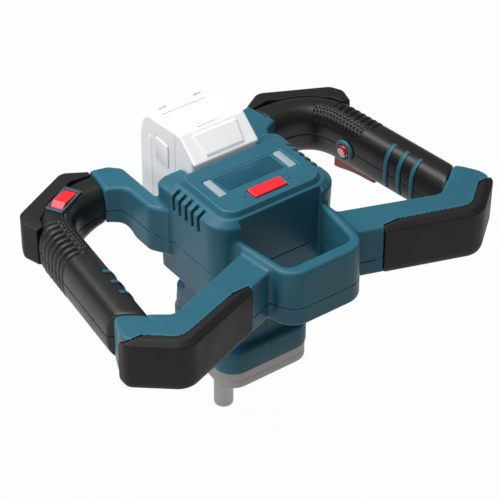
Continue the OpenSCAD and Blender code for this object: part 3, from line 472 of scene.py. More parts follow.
GRIP_X = 177  # where the straight crosses y = 0
GRIP_Z, GRIP_A, GRIP_B = 264.5, 20, 28  # middle height, half width, half height
GRIP_POWER = 2.8
SPLAY_COS, SPLAY_SIN = np.cos(np.radians(7.1)), np.sin(np.radians(7.1))
REAR_JOINT, BEND_END = np.array([101.5, 71.0]), np.array([174.26, 22.0])
JOINT_PULL, BEND_PULL = [46, 2], 34
LEAD_IN, STRAIGHT = 20, 200
GRIP_FRONT = (160, -148), (0.590, -0.807)  # planes in x and y where the grip meets the arms
GRIP_REAR = (105, 52), (-0.983, -0.181)


def bend_line(n=36):
    """Plan line of the right grip: a short lead-in, a cubic bend and a straight run forwards."""
    aim = np.array([SPLAY_SIN, -SPLAY_COS])
    p0, p3 = REAR_JOINT, BEND_END
    p1, p2 = p0 + JOINT_PULL, p3 - aim * BEND_PULL
    t = np.linspace(0, 1, n)[:, None]
    w = 1 - t
    curve = w ** 3 * p0 + 3 * t * w ** 2 * p1 + 3 * t * t * w * p2 + t ** 3 * p3
    start, end = p0 - unit(p1 - p0) * LEAD_IN, p3 + aim * STRAIGHT
    return np.concatenate([start[None], curve, end[None]])


LINE = bend_line()
PARTS = np.linalg.norm(np.diff(LINE, axis=0), axis=1)


def along(x, y):
    """Distance s along the grip line from the rear joint, and signed distance u outwards."""
    x, y = np.broadcast_arrays(x, y)
    near = np.full(x.shape, FAR)
    s, u = np.zeros(x.shape), np.zeros(x.shape)
    for a, b, length, before in zip(LINE, LINE[1:], PARTS, np.cumsum(PARTS) - PARTS - LEAD_IN):
        tx, ty = (b - a) / length
        px, py = x - a[0], y - a[1]
        t = np.clip(px * tx + py * ty, 0, length)
        dx, dy = px - t * tx, py - t * ty
        d = dx * dx + dy * dy
        closer = d < near
        near = np.where(closer, d, near)
        s = np.where(closer, before + t, s)
        u = np.where(closer, np.sign(tx * py - ty * px) * np.sqrt(d), u)
    return s, u


def section(u, v, half_w, half_h):
    """About the distance to a superellipse."""
    sides = (np.abs(u) / half_w) ** GRIP_POWER + (np.abs(v) / half_h) ** GRIP_POWER
    return ((sides + TINY) ** (1 / GRIP_POWER) - 1) * (half_w + half_h) / 2


# Housing: body with a slanted band round the deck, carry loop, front and rear arms

LOOP_OUT = from_outline([[-57, -89, 0], [-47, -176, 24], [47, -176, 24], [57, -89, 0]])
LOOP_IN = from_outline([[-49, -94, 0], [-39, -161, 11], [39, -161, 11], [49, -94, 0]])
ARM = from_outline([[46, -148.3, 0], [172, -192, 24], [219, -153.5, 12], [217, -141, 4],
                    [205.9, -114.43, 3], [160, -148, 12], [53, -108.5, 0]])
REAR = from_outline([[63, -14, 0], [75, -14, 0], [86, 4, 14], [86, 42, 14], [105, 52, 0],
                     [98, 90, 0], [80, 85, 8], [69, 74, 10], [69, 8, 4], [63, 8, 0]])
PAD_OUT = [[175.3, -195.9, 25], [222, -157, 13]]
PAD = from_outline([[79.2, -162.4, 2], *PAD_OUT, [219.5, -141.5, 2], [207, -143, 2],
                    [209, -150.5, 8], [173.2, -180.5, 18], [83.3, -150.7, 2]])
PAD_FACE = from_outline([[0, -134.9, 0], *PAD_OUT, [221.25, 0, 0], [0, 0, 0]])
PAD_END = (-152, 290), (0.62, 0.785)  # plane in y and z, towards the grip
RING_LOW, RING_HIGH = 238, 294
LOOP_LOW, LOOP_HIGH, LOOP_BACK = 235, 299, -96
LEDGE, LEDGE_Z = 1.0, 288  # step inside the loop
BODY_X, BODY_Y, BODY_R = 46.4, 74.3, 23  # centres and radius of the upright corners
BODY_LOW, BODY_REAR = 211, 13
DRAFT, DRAFT_LOW, DRAFT_HIGH = 0.0386, 200, 325
BEND_Z, RIM_Z = 314.7, 321.3
SIDE_FALL, FRONT_FALL = 0.58, 0.47  # slant of the band, and what the front adds to it
SILL_Y, SILL_Z = -9, 317.5
VENT_Y, VENT_PITCH, VENT_HALF = -21.5, 10.4, 2.2
VENT_COUNT, VENT_DEEP, VENT_LOW = 5, 5, 296.3
BAY_HALF, BAY_FRONT, BAY_FLOOR = 41.5, -11, 236
WELL_Y, WELL_HALF, WELL_LOW = -52.5, (48, 32.5), 312
MOTOR_Y, MOTOR_R, MOTOR_LOW, MOTOR_HIGH = -50, 37, 205, 300
ARM_PROUD, ARM_FLARE = 0.5, 0.36
INNER_U, INNER_FLARE = 12, 3
REAR_LIFT, LIFT_Y, LIFT_RUN = 13, 25, 28
PAD_GAP, SEAM_GAP = 0.3, 0.1
SEAM_Z, SEAM_RISE, SEAM_X, SEAM_RUN = 256, 11, 72, 23


def body_shape(x, y, z):
    """Drafted box with round corners, hollowed for the vents, the pack, the panel and the motor.

    Above the bend line its top falls away, gently at the sides and steeply in front.
    """
    qx, qy = np.abs(x) - BODY_X, -y - BODY_Y
    cx, cy = np.maximum(qx, 0), np.maximum(qy, 0)
    plan = np.hypot(cx, cy) + np.minimum(np.maximum(qx, qy), 0) - BODY_R
    front = np.where(cx * cy > 0, cy ** 2 / np.maximum(cx ** 2 + cy ** 2, TINY), qy > qx)
    fall = SIDE_FALL + FRONT_FALL * front
    wall = plan - DRAFT * (np.clip(z, DRAFT_LOW, DRAFT_HIGH) - BODY_LOW)
    band = (z - BEND_Z + fall * (plan - 4)) / np.sqrt(1 + fall ** 2)
    f = meet(meet(wall, band, 1.6), z - RIM_Z, 1.0)
    f = meet(f, y - BODY_REAR, 14)
    f = meet(f, np.minimum(z - SILL_Z, y - SILL_Y), 3)
    f = meet(f, BODY_LOW - z, 0.8)
    f = np.maximum(f, (wall + BODY_LOW - z + 3) * DIAGONAL)
    row = np.clip(np.round((VENT_Y - y) / VENT_PITCH), 0, VENT_COUNT - 1)
    slot = np.abs(y - VENT_Y + VENT_PITCH * row) - VENT_HALF
    f = cut(f, common(slot, -f - VENT_DEEP, VENT_LOW - z, -plan - VENT_DEEP), 0.7)
    bay = common(np.abs(x) - BAY_HALF, BAY_FRONT - y, BAY_FLOOR - z)
    well = np.maximum(box2(x, y - WELL_Y, *WELL_HALF, 6), WELL_LOW - z)
    motor = common(np.hypot(x, y - MOTOR_Y) - MOTOR_R, z - MOTOR_HIGH, MOTOR_LOW - z)
    return common(cut(f, bay, 1.2), -well, -motor)


def housing(x, y, z):
    """Body, carry loop, front and rear arms in one, with fillets and the bumpers' seats cut.

    The outer end of a front arm takes over the section of the grip and widens away from it. The
    underside of a rear arm rises towards the grip.
    """
    ax = np.abs(x)
    ledge = LEDGE * ease((LEDGE_Z - z) / 2)
    ring = np.maximum(LOOP_OUT(x, y), -LOOP_IN(x, y) - ledge)
    loop = extrude(ring, z, LOOP_LOW, LOOP_HIGH, 3.8, 3)
    arm = extrude(ARM(ax, y), z, RING_LOW, RING_HIGH, 3.2, 4)
    u = along(ax, y)[1]
    sleeve = (section(u, z - GRIP_Z, GRIP_A, GRIP_B) - ARM_PROUD
              - ARM_FLARE * np.maximum(past(ax, y, GRIP_FRONT), 0)
              - INNER_FLARE * np.maximum(-u - INNER_U, 0))
    arm = meet(arm, sleeve, 4)
    lift = REAR_LIFT * ease((y - LIFT_Y) / LIFT_RUN)
    rear = extrude(REAR(ax, y), z, RING_LOW + lift, RING_HIGH, 4.5, 5)
    f = join(body_shape(x, y, z), loop, 5)
    f = np.maximum(f, -np.maximum(LOOP_IN(x, y), y - LOOP_BACK))
    f = join(join(f, arm, 7), rear, 7)
    return np.maximum(f, PAD_GAP - np.maximum(PAD(ax, y), past(y, z, PAD_END)))


def seam(x):
    """Height of the parting line: low on the body, higher out on the arms."""
    return SEAM_Z + SEAM_RISE * ease((np.abs(x) - SEAM_X) / SEAM_RUN)


def upper(x, y, z):
    """Housing above the parting line, with a small groove along it."""
    return meet(housing(x, y, z), seam(x) + SEAM_GAP - z, 0.9)


def lower(x, y, z):
    """Housing below the parting line, with a small groove along it."""
    return meet(housing(x, y, z), z - seam(x) + SEAM_GAP, 0.9)


carved("upper_shell", upper, (-226, -194, 255), (226, 92, 323), 1.55, TEAL, "power_head",
       "upper_housing")
carved("lower_shell", lower, (-226, -194, 209), (226, 92, 269), 1.55, TEAL, "power_head",
       "lower_housing")


# Front bumpers, round the arm's outer side: a ledge on top, a slanted face and an upright face

PAD_MID, PAD_HALF, PAD_FOOT = 265, 29, 236
PAD_LEAN, PAD_LEAN_Z = 0.03, 287
PAD_SLANT = (-6.5, 293.6), (0.54, 0.84)  # plane in the distance from the outer face and z


def front_bumper(x, y, z):
    """Strip of the arm's outline, slanted at its upper outer edge and at its end."""
    out = PAD_FACE(x, y) + PAD_LEAN * (PAD_LEAN_Z - z)
    f = meet(PAD(x, y), np.abs(z - PAD_MID) - PAD_HALF, 1.6)
    f = meet(f, out, 1.0)
    f = meet(f, past(out, z, PAD_SLANT), 0.8)
    f = meet(f, past(y, z, PAD_END), 2)
    return meet(f, (out + PAD_FOOT - z + 3.4) * DIAGONAL, 5)


for side, sign in SIDES:
    west, east = reach(sign, 78, 225)
    carved(side + "_bumper", mirrored(front_bumper, sign), (west, -198, 234), (east, -139, 296),
           1.1, BUMPER, "power_head", side + "_front_bumper")


# Grips

RIB_FIRST, RIB_PITCH, RIB_DEEP, RIB_SWELL, RIB_GROOVE = 92, 8, 1.5, 0.5, 1.2
RIB_SPAN, RIB_ANGLES = (85, 139), (-70, 90)
DIMPLE_S, DIMPLE_U, DIMPLE_DEEP, DIMPLE_SPREAD = 5, 8.4, 1.3, 1.9
DIMPLE_SPAN, DIMPLE_BAND = (62, 134), (-18.5, -5)
SEAM_DEEP, SEAM_SPREAD = 0.55, 0.8
BEND_THIN, THIN_S, THIN_RUN = 11, 44, 42  # lower half at the bend
FRONT_GAP, FRONT_DEEP, FRONT_SPREAD = 0.9, 0.8, 1.4  # grooves along the joints with the arms
REAR_GAP, REAR_DEEP, REAR_SPREAD = 0.5, 0.5, 1.2
HALF_GAP = 0.08  # between the half shells
TRIGGER_Y, TRIGGER_HALF = 2, (7, 30)
LOCK_Y, LOCK_V, LOCK_R = 3, -2, 7
KEY_GAP = 0.5
SLOT_V, SLOT_DEEP = -25, 20  # middle and half length
BORE_X, BORE_DEEP = -22.5, 17.5
ROCKER_X, ROCKER_Y = 146.6, 62.4
ROCKER_COS, ROCKER_SIN = np.cos(np.radians(28)), np.sin(np.radians(28))
SEAT_HALF, SEAT_Z = (20.3, 9.8), 290.2
HOLE_HALF, HOLE_Z = (16.3, 7.5), 284


def grip_place(x, y):
    """Local frame of the grip's straight: outwards and to the rear."""
    dx = x - GRIP_X
    return dx * SPLAY_COS + y * SPLAY_SIN, -dx * SPLAY_SIN + y * SPLAY_COS


def grip(x, y, z):
    """Grip body, thinner at the bend, with ribs outside, dimples inside, a seam and cut ends."""
    s, u = along(x, y)
    v = z - GRIP_Z
    below = GRIP_B - BEND_THIN * ease((THIN_S - s) / THIN_RUN)
    f = section(u, v, GRIP_A, np.where(v < 0, below, GRIP_B))
    round_way = np.degrees(np.arctan2(v / GRIP_B, u / GRIP_A))
    ribs = window(s, *RIB_SPAN, 2) * window(round_way, *RIB_ANGLES, 12)
    groove = RIB_PITCH * np.abs(to_nearest((s - RIB_FIRST) / RIB_PITCH))
    swell = RIB_SWELL * np.cos(np.pi * groove / (RIB_PITCH / 2) + np.pi)
    f = f + ribs * (RIB_DEEP * np.exp(-(groove / RIB_GROOVE) ** 2) - swell)
    rows = [(DIMPLE_S * to_nearest(s / DIMPLE_S + shift)) ** 2
            + (DIMPLE_U * to_nearest(u / DIMPLE_U + shift)) ** 2 for shift in (0, 0.5)]
    field = window(s, *DIMPLE_SPAN, 1) * window(u, *DIMPLE_BAND, 0.8) * (v > 0)
    f = f + DIMPLE_DEEP * field * np.exp(-np.minimum(*rows) / DIMPLE_SPREAD)
    f = f + SEAM_DEEP * np.exp(-(v / SEAM_SPREAD) ** 2)
    front, rear = past(x, y, GRIP_FRONT) + FRONT_GAP, past(x, y, GRIP_REAR) + REAR_GAP
    f = (f + FRONT_DEEP * np.exp(np.minimum(front, 0) / FRONT_SPREAD)
         + REAR_DEEP * np.exp(np.minimum(rear, 0) / REAR_SPREAD))
    return meet(meet(f, front, 0.8), rear, 0.8)


def right_grip(x, y, z):
    """Right grip with the trigger's slot and the bore of the lock button."""
    lx, ly = grip_place(x, y)
    v = z - GRIP_Z
    half_x, half_y = TRIGGER_HALF
    slot = np.maximum(box2(lx, ly - TRIGGER_Y, half_x + KEY_GAP, half_y + KEY_GAP, 1.5),
                      np.abs(v - SLOT_V) - SLOT_DEEP)
    bore = np.maximum(np.hypot(ly - LOCK_Y, v - LOCK_V) - (LOCK_R + KEY_GAP),
                      np.abs(lx - BORE_X) - BORE_DEEP)
    return cut(cut(grip(x, y, z), slot, 0.8), bore, 0.8)


def rocker_place(x, y):
    """Local frame of the rocker on the left grip: along its length and across."""
    px, py = -x - ROCKER_X, y - ROCKER_Y
    return px * ROCKER_COS - py * ROCKER_SIN, px * ROCKER_SIN + py * ROCKER_COS


def left_grip(x, y, z):
    """Left grip, the mirror image, with the opening and the seat of the rocker."""
    lx, ly = rocker_place(x, y)
    rest = np.maximum(box2(lx, ly, *SEAT_HALF, 1), SEAT_Z - z)
    hole = np.maximum(box2(lx, ly, *HOLE_HALF, 1), HOLE_Z - z)
    return cut(cut(grip(-x, y, z), rest, 0.6), hole, 0.6)


for (side, sign), shape in zip(SIDES, (right_grip, left_grip)):
    west, east = reach(sign, 78, 222)
    carved(side + "_grip_top",
           lambda x, y, z, f=shape: meet(f(x, y, z), GRIP_Z + HALF_GAP - z, 0.5),
           (west, -150, 264), (east, 106, 294), 1.0, GRIP, "power_head",
           side + "_grip_upper")
    carved(side + "_grip_base",
           lambda x, y, z, f=shape: meet(f(x, y, z), z - GRIP_Z + HALF_GAP, 0.5),
           (west, -150, 235), (east, 106, 265), 1.0, GRIP, "power_head",
           side + "_grip_lower")
    softened(side + "_bands", side + "_grip_bands", TEAL, "power_head", 0.3)


REAR_OUT = [[122, 107, 12], [192, 72, 12], [198.5, 58, 8]]
REAR_PAD = from_outline([[184, 41, 1], [180, 53, 8], [123, 88.3, 8], [99.7, 85, 1],
                         [98.3, 92.7, 1], *REAR_OUT, [193, 39, 1]])
REAR_FACE = from_outline([*REAR_OUT, [188.6, 24, 0], [150, 20, 0], [60, 30, 0], [62, 70.8, 0]])
REAR_MID, REAR_HALF = 268, 23
REAR_FOOT, REAR_TOP = REAR_MID - REAR_HALF, REAR_MID + REAR_HALF
REAR_SLANT = (-6, REAR_TOP), (0.2, 0.98)  # plane in the distance from the outer face and z
SLEEVE_GAP = 0.4


def rear_bumper(x, y, z):
    """Block round the outside of the bend, hollowed by the grip, its outer rims slanted."""
    u = along(x, y)[1]
    out = REAR_FACE(x, y)
    f = meet(REAR_PAD(x, y), np.abs(z - REAR_MID) - REAR_HALF, 1.6)
    f = meet(f, past(out, z, REAR_SLANT), 1.6)
    f = meet(f, (out + REAR_FOOT - z + 3) * DIAGONAL, 4)
    return meet(f, SLEEVE_GAP - section(u, z - GRIP_Z, GRIP_A, GRIP_B), 0.6)


for side, sign in SIDES:
    west, east = reach(sign, 96, 200)
    carved(side + "_rear_band", mirrored(rear_bumper, sign), (west, 36, 238), (east, 108, 293),
           1.1, BUMPER, "power_head", side + "_rear_bumper")


# Controls

ROCKER_HALF, ROCKER_LOW = (15, 7), 288.5
CREST_X, CREST_Z = 8, 297.2
FRONT_SLOPE, REAR_SLOPE = 0.62, 0.13
LINE_PITCH, LINE_DEEP, LINES_TO = 2.6, 0.12, 6
FRAME_OUT, FRAME_IN = (20, 9.5), (16.2, 7.4)
FRAME_LOW, FRAME_HIGH = 290.3, 294.3
TRIGGER_FLOOR, TRIGGER_TOP = -44, -13
TRIGGER_LOW, TRIGGER_SLANT, TRIGGER_DIP = -39.5, 0.13, 1.6
SPRING_Y, SPRING_R, SPRING_V = -20.5, 3.8, -27
LOCK_STEPS, COLLAR_STEPS = 12, 64


def rocker_key(x, y, z):
    """Block whose top rises to a crest and falls off beyond it, with fine cross lines."""
    lx, ly = rocker_place(x, y)
    fall = np.where(lx > CREST_X, FRONT_SLOPE * (lx - CREST_X), REAR_SLOPE * (CREST_X - lx))
    lines = LINE_DEEP * np.cos(2 * np.pi * lx / LINE_PITCH) * (lx < LINES_TO)
    top = CREST_Z - fall + lines
    f = meet(box2(lx, ly, *ROCKER_HALF, 1.2), 0.95 * (z - top), 1.0)
    return meet(f, ROCKER_LOW - z, 0.5)


def rocker_rim(x, y, z):
    """Rectangular ring with rounded edges."""
    lx, ly = rocker_place(x, y)
    ring = np.maximum(box2(lx, ly, *FRAME_OUT, 1.5), -box2(lx, ly, *FRAME_IN, 1))
    return extrude(ring, z, FRAME_LOW, FRAME_HIGH, 0.7, 0.3)


carved("rocker_key", rocker_key, (-166, 44, 288), (-127, 81, 298), 0.6, RED, "mode_rocker",
       "rocker")
carved("rocker_rim", rocker_rim, (-170, 40, 290), (-123, 85, 296), 0.6, SLATE, "power_head",
       "rocker_frame")


def trigger_key(x, y, z):
    """Bar with rounded edges; its underside falls to the rear and is hollowed for the fingers.

    A well from above takes the spring.
    """
    lx, ly = grip_place(x, y)
    v = z - GRIP_Z
    way = ly - TRIGGER_Y
    dip = TRIGGER_DIP * np.cos(np.clip(way / TRIGGER_HALF[1], -1, 1) * np.pi / 2) ** 2
    low = TRIGGER_LOW - TRIGGER_SLANT * way + dip
    f = extrude(box2(lx, way, *TRIGGER_HALF, 2.5), v, TRIGGER_FLOOR, TRIGGER_TOP, 0.5, 2.5)
    well = np.maximum(np.hypot(lx, ly - SPRING_Y) - SPRING_R, SPRING_V - v)
    return np.maximum(meet(f, low - v, 2.5), -well)


carved("trigger_key", trigger_key, (162, -34, 219), (194, 38, 252), 0.8, CLEAR_RED,
       "trigger_key", "trigger")


def on_lock(rings):
    """Rings about Z put on the lock button's axis, which points inwards from the right grip."""
    a, b, lx = np.moveaxis(rings, 2, 0)
    ly, lz = LOCK_Y - a, LOCK_V + b
    return np.stack([GRIP_X + lx * SPLAY_COS - ly * SPLAY_SIN,
                     lx * SPLAY_SIN + ly * SPLAY_COS, GRIP_Z + lz], 2)


gem = [[2.2, -26], [4.6, -25.6], [6.5, -24.6], [LOCK_R, -23.5], [LOCK_R, -13.8]]
p, faces = shells(on_lock(turned(gem, LOCK_STEPS)))
piece("lock_key", p, faces, CLEAR_RED, "lock_pin", "lock_button", sharp=12)
collar = [[12, -20.2], [12, -21.4], [11.6, -22.4], [10.6, -23.2], [8.0, -23.2], [7.4, -22.6],
          [7.4, -20.2]]
p, faces = shells(on_lock(turned(collar, COLLAR_STEPS)), closed=True)
piece("lock_ring", p, faces, TEAL, "power_head", "lock_collar")


# Control panel

PANEL_Y, PANEL_HALF = -51.4, (57.2, 39.4)
PANEL_LOW, PANEL_TOP, PANEL_LEAN = 317, 327, 0.45
PANEL_R_FRONT, PANEL_R_REAR = 15, 8
FIELD_Y, FIELD_HALF, FIELD_Z = -47.3, (48.6, 16.8), 326.3
SCREEN_Y, SCREEN_HALF, SCREEN_Z = -46, (34.4, 12.4), 324.5
STRIP_X, STRIP_Y, STRIP_HALF, STRIP_Z = 42, -47.5, (4.4, 14.9), 322.5
BUTTON_Y, BUTTON_HALF, BUTTON_HOLE = -76.3, (19.5, 7.5), (20.1, 8.1)
BUTTON_LOW, BUTTON_TOP, BUTTON_DIP = 321, 329, 0.6


def panel(x, y, z):
    """Plate with sloping sides, fields for the display and the strips, and the button's hole."""
    lean = PANEL_LEAN * (PANEL_TOP - np.clip(z, 318, 328))
    qy = y - PANEL_Y
    plan = box2(x, qy, *PANEL_HALF, np.where(qy < 0, PANEL_R_FRONT, PANEL_R_REAR)) - lean
    f = meet(meet(plan, z - PANEL_TOP, 1.4), PANEL_LOW - z, 0.3)
    field = np.maximum(box2(x, y - FIELD_Y, *FIELD_HALF, 4), FIELD_Z - z)
    screen = np.maximum(box2(x, y - SCREEN_Y, *SCREEN_HALF, 2), SCREEN_Z - z)
    strips = np.maximum(box2(np.abs(x) - STRIP_X, y - STRIP_Y, *STRIP_HALF, 1.2), STRIP_Z - z)
    hole = box2(x, y - BUTTON_Y, *BUTTON_HOLE, 2)
    f = cut(cut(cut(f, field, 0.8), screen, 0.4), strips, 0.3)
    return cut(f, hole, 0.6)


carved("panel_top", panel, (-63, -96, 316), (63, -7, 328), 0.85, TEAL, "power_head",
       "control_panel")
softened("display", "panel_plate", DISPLAY, "power_head", 0.3)
softened("strips", "light_strips", STRIP, "power_head", 0.3)
softened("lamps", "indicator_lenses", LENS, "power_head", 0.1)


def button(x, y, z):
    """Key with rounded edges and a slightly hollow top."""
    across = y - BUTTON_Y
    top = BUTTON_TOP - BUTTON_DIP * np.cos(np.clip(across / BUTTON_HALF[1], -1, 1) * np.pi / 2)
    return meet(meet(box2(x, across, *BUTTON_HALF, 2), z - top, 1.8), BUTTON_LOW - z, 0.3)


carved("speed_key", button, (-20, -85, 320.5), (20, -68, 330), 0.6, RED, "speed_button",
       "panel_button")


# Battery pack: outline in [y, z]

PACK = from_outline([[-5.1, 236.4, 2], [83, 236.4, 2], [87, 240.4, 3], [87, 315, 26],
                     [82, 337, 12], [73, 346, 8], [24, 350.4, 0], [16, 351, 3],
                     [-9.5, 330.4, 1.5], [-9.5, 327.4, 0.8], [-5.1, 327.4, 0.8]])
PACK_HALF, PACK_EDGE = 39, 2.6
PACK_SPLIT, SPLIT_GAP = 24, 0.08
NOSE_RISE, NOSE_HALF, NOSE_Y, NOSE_Z = 1.4, 21, (-6, 11), 331
SIDE_RISE, SIDE_Y, SIDE_Z = 0.7, (66, 70), (252, 322)
LABEL_Y, LABEL_HALF, LABEL_DEEP = 46, (27, 17), 1.0
GROOVE_Y, GROOVE_HALF, GROOVE_DEEP = 19.5, (15, 1.2), 2
TAB_X, TAB_Y, TAB_HALF = 21, 75, (5, 3)
TAB_Z, TAB_TALL = 344, 4.6
RAIL_X, RAIL_HALF, RAIL_TOP, RAIL_Y = 24.5, 3, 314.6, 0.1
BLADE_PITCH, BLADE_HALF, BLADE_TOP, BLADE_Y = 10, 1.1, 263, 3.2
LATCH_Y, LATCH_Z, LATCH_HALF, LATCH_X = 47, 315, (11.5, 13.5), 33.4


def pack(x, y, z):
    """Side outline carried across the width, with a label field, a raised nose, side ribs and tabs.

    The rails, the contact blades and the release buttons have their slots.
    """
    ax = np.abs(x)
    f = corner(PACK(y, z), ax - PACK_HALF, PACK_EDGE)
    nose_half = NOSE_HALF + (z - NOSE_Z) * 0.25
    f = f - NOSE_RISE * window(ax, -1, nose_half, 1.5) * window(y, *NOSE_Y, 2) * (z > 326)
    f = f - SIDE_RISE * window(y, *SIDE_Y, 1) * window(z, *SIDE_Z, 3) * (ax > 30)
    label = np.maximum(box2(x, y - LABEL_Y, *LABEL_HALF, 3), -f - LABEL_DEEP)
    groove = np.maximum(box2(x, y - GROOVE_Y, *GROOVE_HALF, 1), -f - GROOVE_DEEP)
    f = np.where(z > 330, cut(cut(f, label, 0.6), groove, 0.5), f)
    tabs = np.maximum(box2(ax - TAB_X, y - TAB_Y, *TAB_HALF, 1), np.abs(z - TAB_Z) - TAB_TALL)
    f = join(f, tabs, 1.5)
    rails = common(np.abs(ax - RAIL_X) - RAIL_HALF, y - RAIL_Y, z - RAIL_TOP)
    near = BLADE_PITCH * np.clip(np.round(x / BLADE_PITCH), -1, 1)
    blades = common(np.abs(x - near) - BLADE_HALF, y - BLADE_Y, z - BLADE_TOP)
    latch = np.maximum(box2(y - LATCH_Y, z - LATCH_Z, *LATCH_HALF, 1), LATCH_X - ax)
    return common(f, -rails, -blades, -latch)


# The pack's case and cover carry the faint painted glow of their material.
carved("pack_case", lambda x, y, z: meet(pack(x, y, z), PACK_SPLIT + SPLIT_GAP - y, 0.6),
       (-41, 23, 235), (41, 89, 352), 1.1, FROSTED_AND_GLOWING, "battery_pack",
       "battery_case")
carved("pack_cover", lambda x, y, z: meet(pack(x, y, z), y - (PACK_SPLIT - SPLIT_GAP), 0.6),
       (-41, -12, 235), (41, 25, 354), 1.0, FROSTED_AND_GLOWING, "battery_pack",
       "battery_cover")
for side in ("left", "right"):
    softened(side + "_key", side + "_latch", PACK_KEY, side + "_release", 0.6)


# Neck, gearbox plates and spindle

NOTCH_X = np.array([0.7, 0.25, 0, -0.25, -0.7])
NOTCH_DEEP = np.array([0, 0.45, 0.6, 0.45, 0])
NECK_WALL = 3
# Height, half width, front, rear half width, rear, front radius, rear radius
NECK = [[115.1, 53.9, -83.4, 45.4, 31.4, 19.4, 15.4],
        [115.8, 54.5, -84, 46, 32, 20, 16],
        [136.5, 54.5, -84, 46, 32, 20, 16],
        [139.2, 53.8, -83.3, 45.4, 31.4, 19.4, 15.6],
        [140.6, 52, -81.6, 45, 30.4, 18.6, 15.4],
        [141, 50.5, -80, 45, 30, 18, 15.4],
        [141.6, 47.6, -77, 45, 29.6, 16.6, 15.4],
        [143.4, 46, -75.2, 45, 29.4, 16, 15.4],
        [152, 46, -75, 45, 29.4, 16, 15.4],
        [156, 46, -75, 45, 28.6, 16, 15.4],
        [166, 46, -75, 45.6, 27.6, 16, 15.8],
        [171, 46, -75, 46, 13, 16, 16],
        [212.5, 46, -75, 46, 13, 16, 16]]


def box_ring(half, front, rear_half, rear, r_front, r_rear, m=9):
    """Anticlockwise ring with round corners and a notch at the middle of front and rear."""
    t = np.linspace(0, np.pi / 2, m)
    arc = np.stack([np.cos(t), np.sin(t)], 1)
    flip = np.array([[0, 1], [-1, 0]])
    return np.concatenate([[rear_half - r_rear, rear - r_rear] + r_rear * arc,
                           np.stack([NOTCH_X, rear - NOTCH_DEEP], 1),
                           [-rear_half + r_rear, rear - r_rear] + r_rear * arc @ flip,
                           [-half + r_front, front + r_front] - r_front * arc,
                           np.stack([-NOTCH_X, front + NOTCH_DEEP], 1),
                           [half - r_front, front + r_front] - r_front * arc @ flip])


def lofted(levels):
    """Stack of such rings, one for each level."""
    rings = [(level[0], box_ring(*level[1:])) for level in levels]
    return np.stack([np.column_stack([ring, np.full(len(ring), z)]) for z, ring in rings])


inward = NECK_WALL * np.array([0, -1, 1, -1, -1, -1, -1])
inner_wall = [list(level + inward) for level in np.array(NECK)]
p, faces = shells(lofted(NECK + inner_wall[::-1]), closed=True)
# The neck takes the darker teal, shade painted in.
piece("neck_shell", p, faces, TEAL_PAINTED_SHADE, "power_head", "gear_neck", sharp=38)
softened("case_flange", "gearbox_case", CAST, "power_head", 0.7)
softened("cover_plate", "gearbox_cover", CAST, "power_head", 0.9)
softened("plate_screws", "cover_screws", SCREW, "power_head", 0.4)

THREAD_R, THREAD_DEEP, THREAD_PITCH, THREAD_RISE = 6.0, 6.8, 2.0, 0.9
turns = np.arange(2.5, 24, THREAD_PITCH)
thread = np.stack([np.stack([np.full(len(turns), THREAD_R), turns - THREAD_RISE], 1),
                   np.stack([np.full(len(turns), THREAD_DEEP), turns], 1)], 1).reshape(-1, 2)
barrel = [[8.5, 138.5], [8.5, 104.4], [10.3, 104.4], [10.5, 104.2], [10.5, 8], [10.2, 7.4],
          [10.2, 6.6], [10.5, 6], [10.5, 2.4], [10.1, 1.0], [9.2, 0.25], [8.3, 0], [7.2, 0],
          [6.4, 0.9], [6, 1.4]]
bore = thread.tolist() + [[6, 24.6], [6, 26], [0.01, 28]]
p, faces = shells(turned(barrel + bore)[::-1])
piece("spindle_barrel", p, faces, SPINDLE, "output_spindle", "spindle")


# Pieces inside keep their solids and take their finishes

INNER = {"panel_board": BOARD, "controller_board": BOARD, "housing_screws": SCREW,
         "output_wheel": STEEL, "spindle_bearings": STEEL, "shaft_seal": SEAL,
         "middle_shaft": STEEL, "middle_wheel": STEEL, "middle_pinion": STEEL,
         "middle_bushes": BRONZE, "motor_plate": CAST, "motor_shaft": STEEL,
         "motor_pinion": STEEL, "rotor_core": IRON, "stator": IRON, "motor_can": IRON,
         "motor_cap": IRON, "motor_bearings": STEEL, "cooling_fan": BLACK,
         "battery_socket": BLACK, "socket_blades": BRASS, "battery_cells": SLEEVE,
         "trigger_switch": BLACK, "trigger_spring": STEEL}
for name, mat in INNER.items():
    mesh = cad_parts[name].data
    mesh.materials.clear()
    mesh.materials.append(mat)


# Floor, world, lamps and camera, in metres

FLOOR_HALF, FLOOR_Z = 6, -0.001
FLOOR_WHITE, FLOOR_GREY = 0.97, 0.55
SKY_LIGHT = 0.2
CAMERA_PLACE = (-1.117, -1.5755, 1.6811)
CAMERA_TURN, CAMERA_RISE = np.radians(-36.17), np.radians(37.42)
CAMERA_LENS, CAMERA_SENSOR = 171.96, 36


def highest(tree, a, b):
    """Output that is the larger of two."""
    return node(tree, "Math", [(0, a), (1, b)], operation="MAXIMUM").outputs[0]


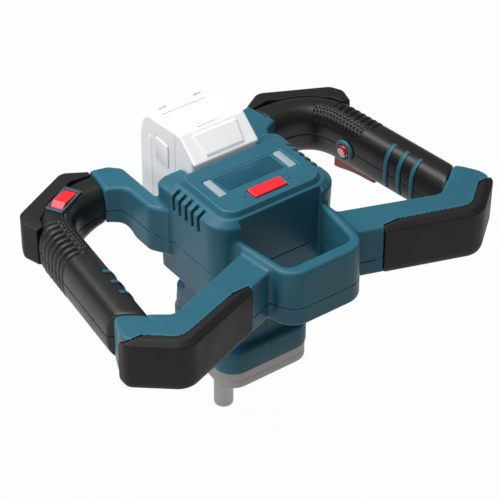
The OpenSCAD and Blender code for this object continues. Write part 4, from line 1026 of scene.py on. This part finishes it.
def backdrop():
    """White floor: white to the camera and in reflections, with a weak shadow of the object."""
    mat = bpy.data.materials.new("floor_white")
    mat.use_nodes = True
    tree = mat.node_tree
    ray = node(tree, "LightPath").outputs
    seen = highest(tree, ray["Is Camera Ray"], ray["Is Glossy Ray"])
    seen = highest(tree, seen, ray["Is Transmission Ray"])
    share = node(tree, "Math", [(0, seen)], operation="MULTIPLY")
    share.inputs[1].default_value = FLOOR_WHITE
    glow = node(tree, "Emission", Color=(1, 1, 1, 1), Strength=1.0)
    plain = node(tree, "BsdfDiffuse", Color=(FLOOR_GREY, FLOOR_GREY, FLOOR_GREY, 1))
    mix = node(tree, "MixShader", [("Fac", share.outputs[0]), (1, plain.outputs[0]),
                                   (2, glow.outputs[0])])
    tree.links.new(tree.nodes["Material Output"].inputs["Surface"], mix.outputs[0])
    mesh = bpy.data.meshes.new("floor")
    ends = [(-1, -1), (1, -1), (1, 1), (-1, 1)]
    mesh.from_pydata([(FLOOR_HALF * x, FLOOR_HALF * y, FLOOR_Z) for x, y in ends], [],
                     [(0, 1, 2, 3)])
    mesh.materials.append(mat)
    floor = bpy.data.objects.new("floor", mesh)
    bpy.context.scene.collection.objects.link(floor)


def sky(strength):
    """White world: plain white to camera and transmission rays, soft light of the strength."""
    world = bpy.data.worlds.new("studio")
    bpy.context.scene.world = world
    world.use_nodes = True
    tree = world.node_tree
    ray = node(tree, "LightPath").outputs
    seen = highest(tree, ray["Is Camera Ray"], ray["Is Transmission Ray"])
    back = tree.nodes["Background"]
    back.inputs["Color"].default_value = (1, 1, 1, 1)
    tree.links.new(back.inputs["Strength"], rescaled(tree, seen, 0.0, 1.0, strength, 1.0))


def lamp(name, place, aim, size, watts):
    """Square soft box that points at a spot of the object."""
    light = bpy.data.lights.new(name, "AREA")
    light.size, light.energy = size, watts
    obj = bpy.data.objects.new(name, light)
    obj.location = place
    obj.rotation_euler = (Vector(aim) - Vector(place)).to_track_quat("-Z", "Y").to_euler()
    bpy.context.scene.collection.objects.link(obj)


backdrop()
sky(SKY_LIGHT)
lamp("top_box", (-0.5, 0.5, 2.2), (0, -0.03, 0.27), 1.6, 54)
lamp("left_box", (-2.1, -0.2, 1.1), (0, 0, 0.25), 1.2, 12)

back = Vector((np.sin(CAMERA_TURN) * np.cos(CAMERA_RISE),
               -np.cos(CAMERA_TURN) * np.cos(CAMERA_RISE), np.sin(CAMERA_RISE)))
camera = bpy.data.cameras.new("camera")
camera.lens, camera.sensor_width = CAMERA_LENS, CAMERA_SENSOR
view = bpy.data.objects.new("camera", camera)
view.location = CAMERA_PLACE
view.rotation_euler = back.to_track_quat("Z", "Y").to_euler()
bpy.context.scene.collection.objects.link(view)
bpy.context.scene.camera = view
bpy.context.scene.view_settings.view_transform = "Standard"
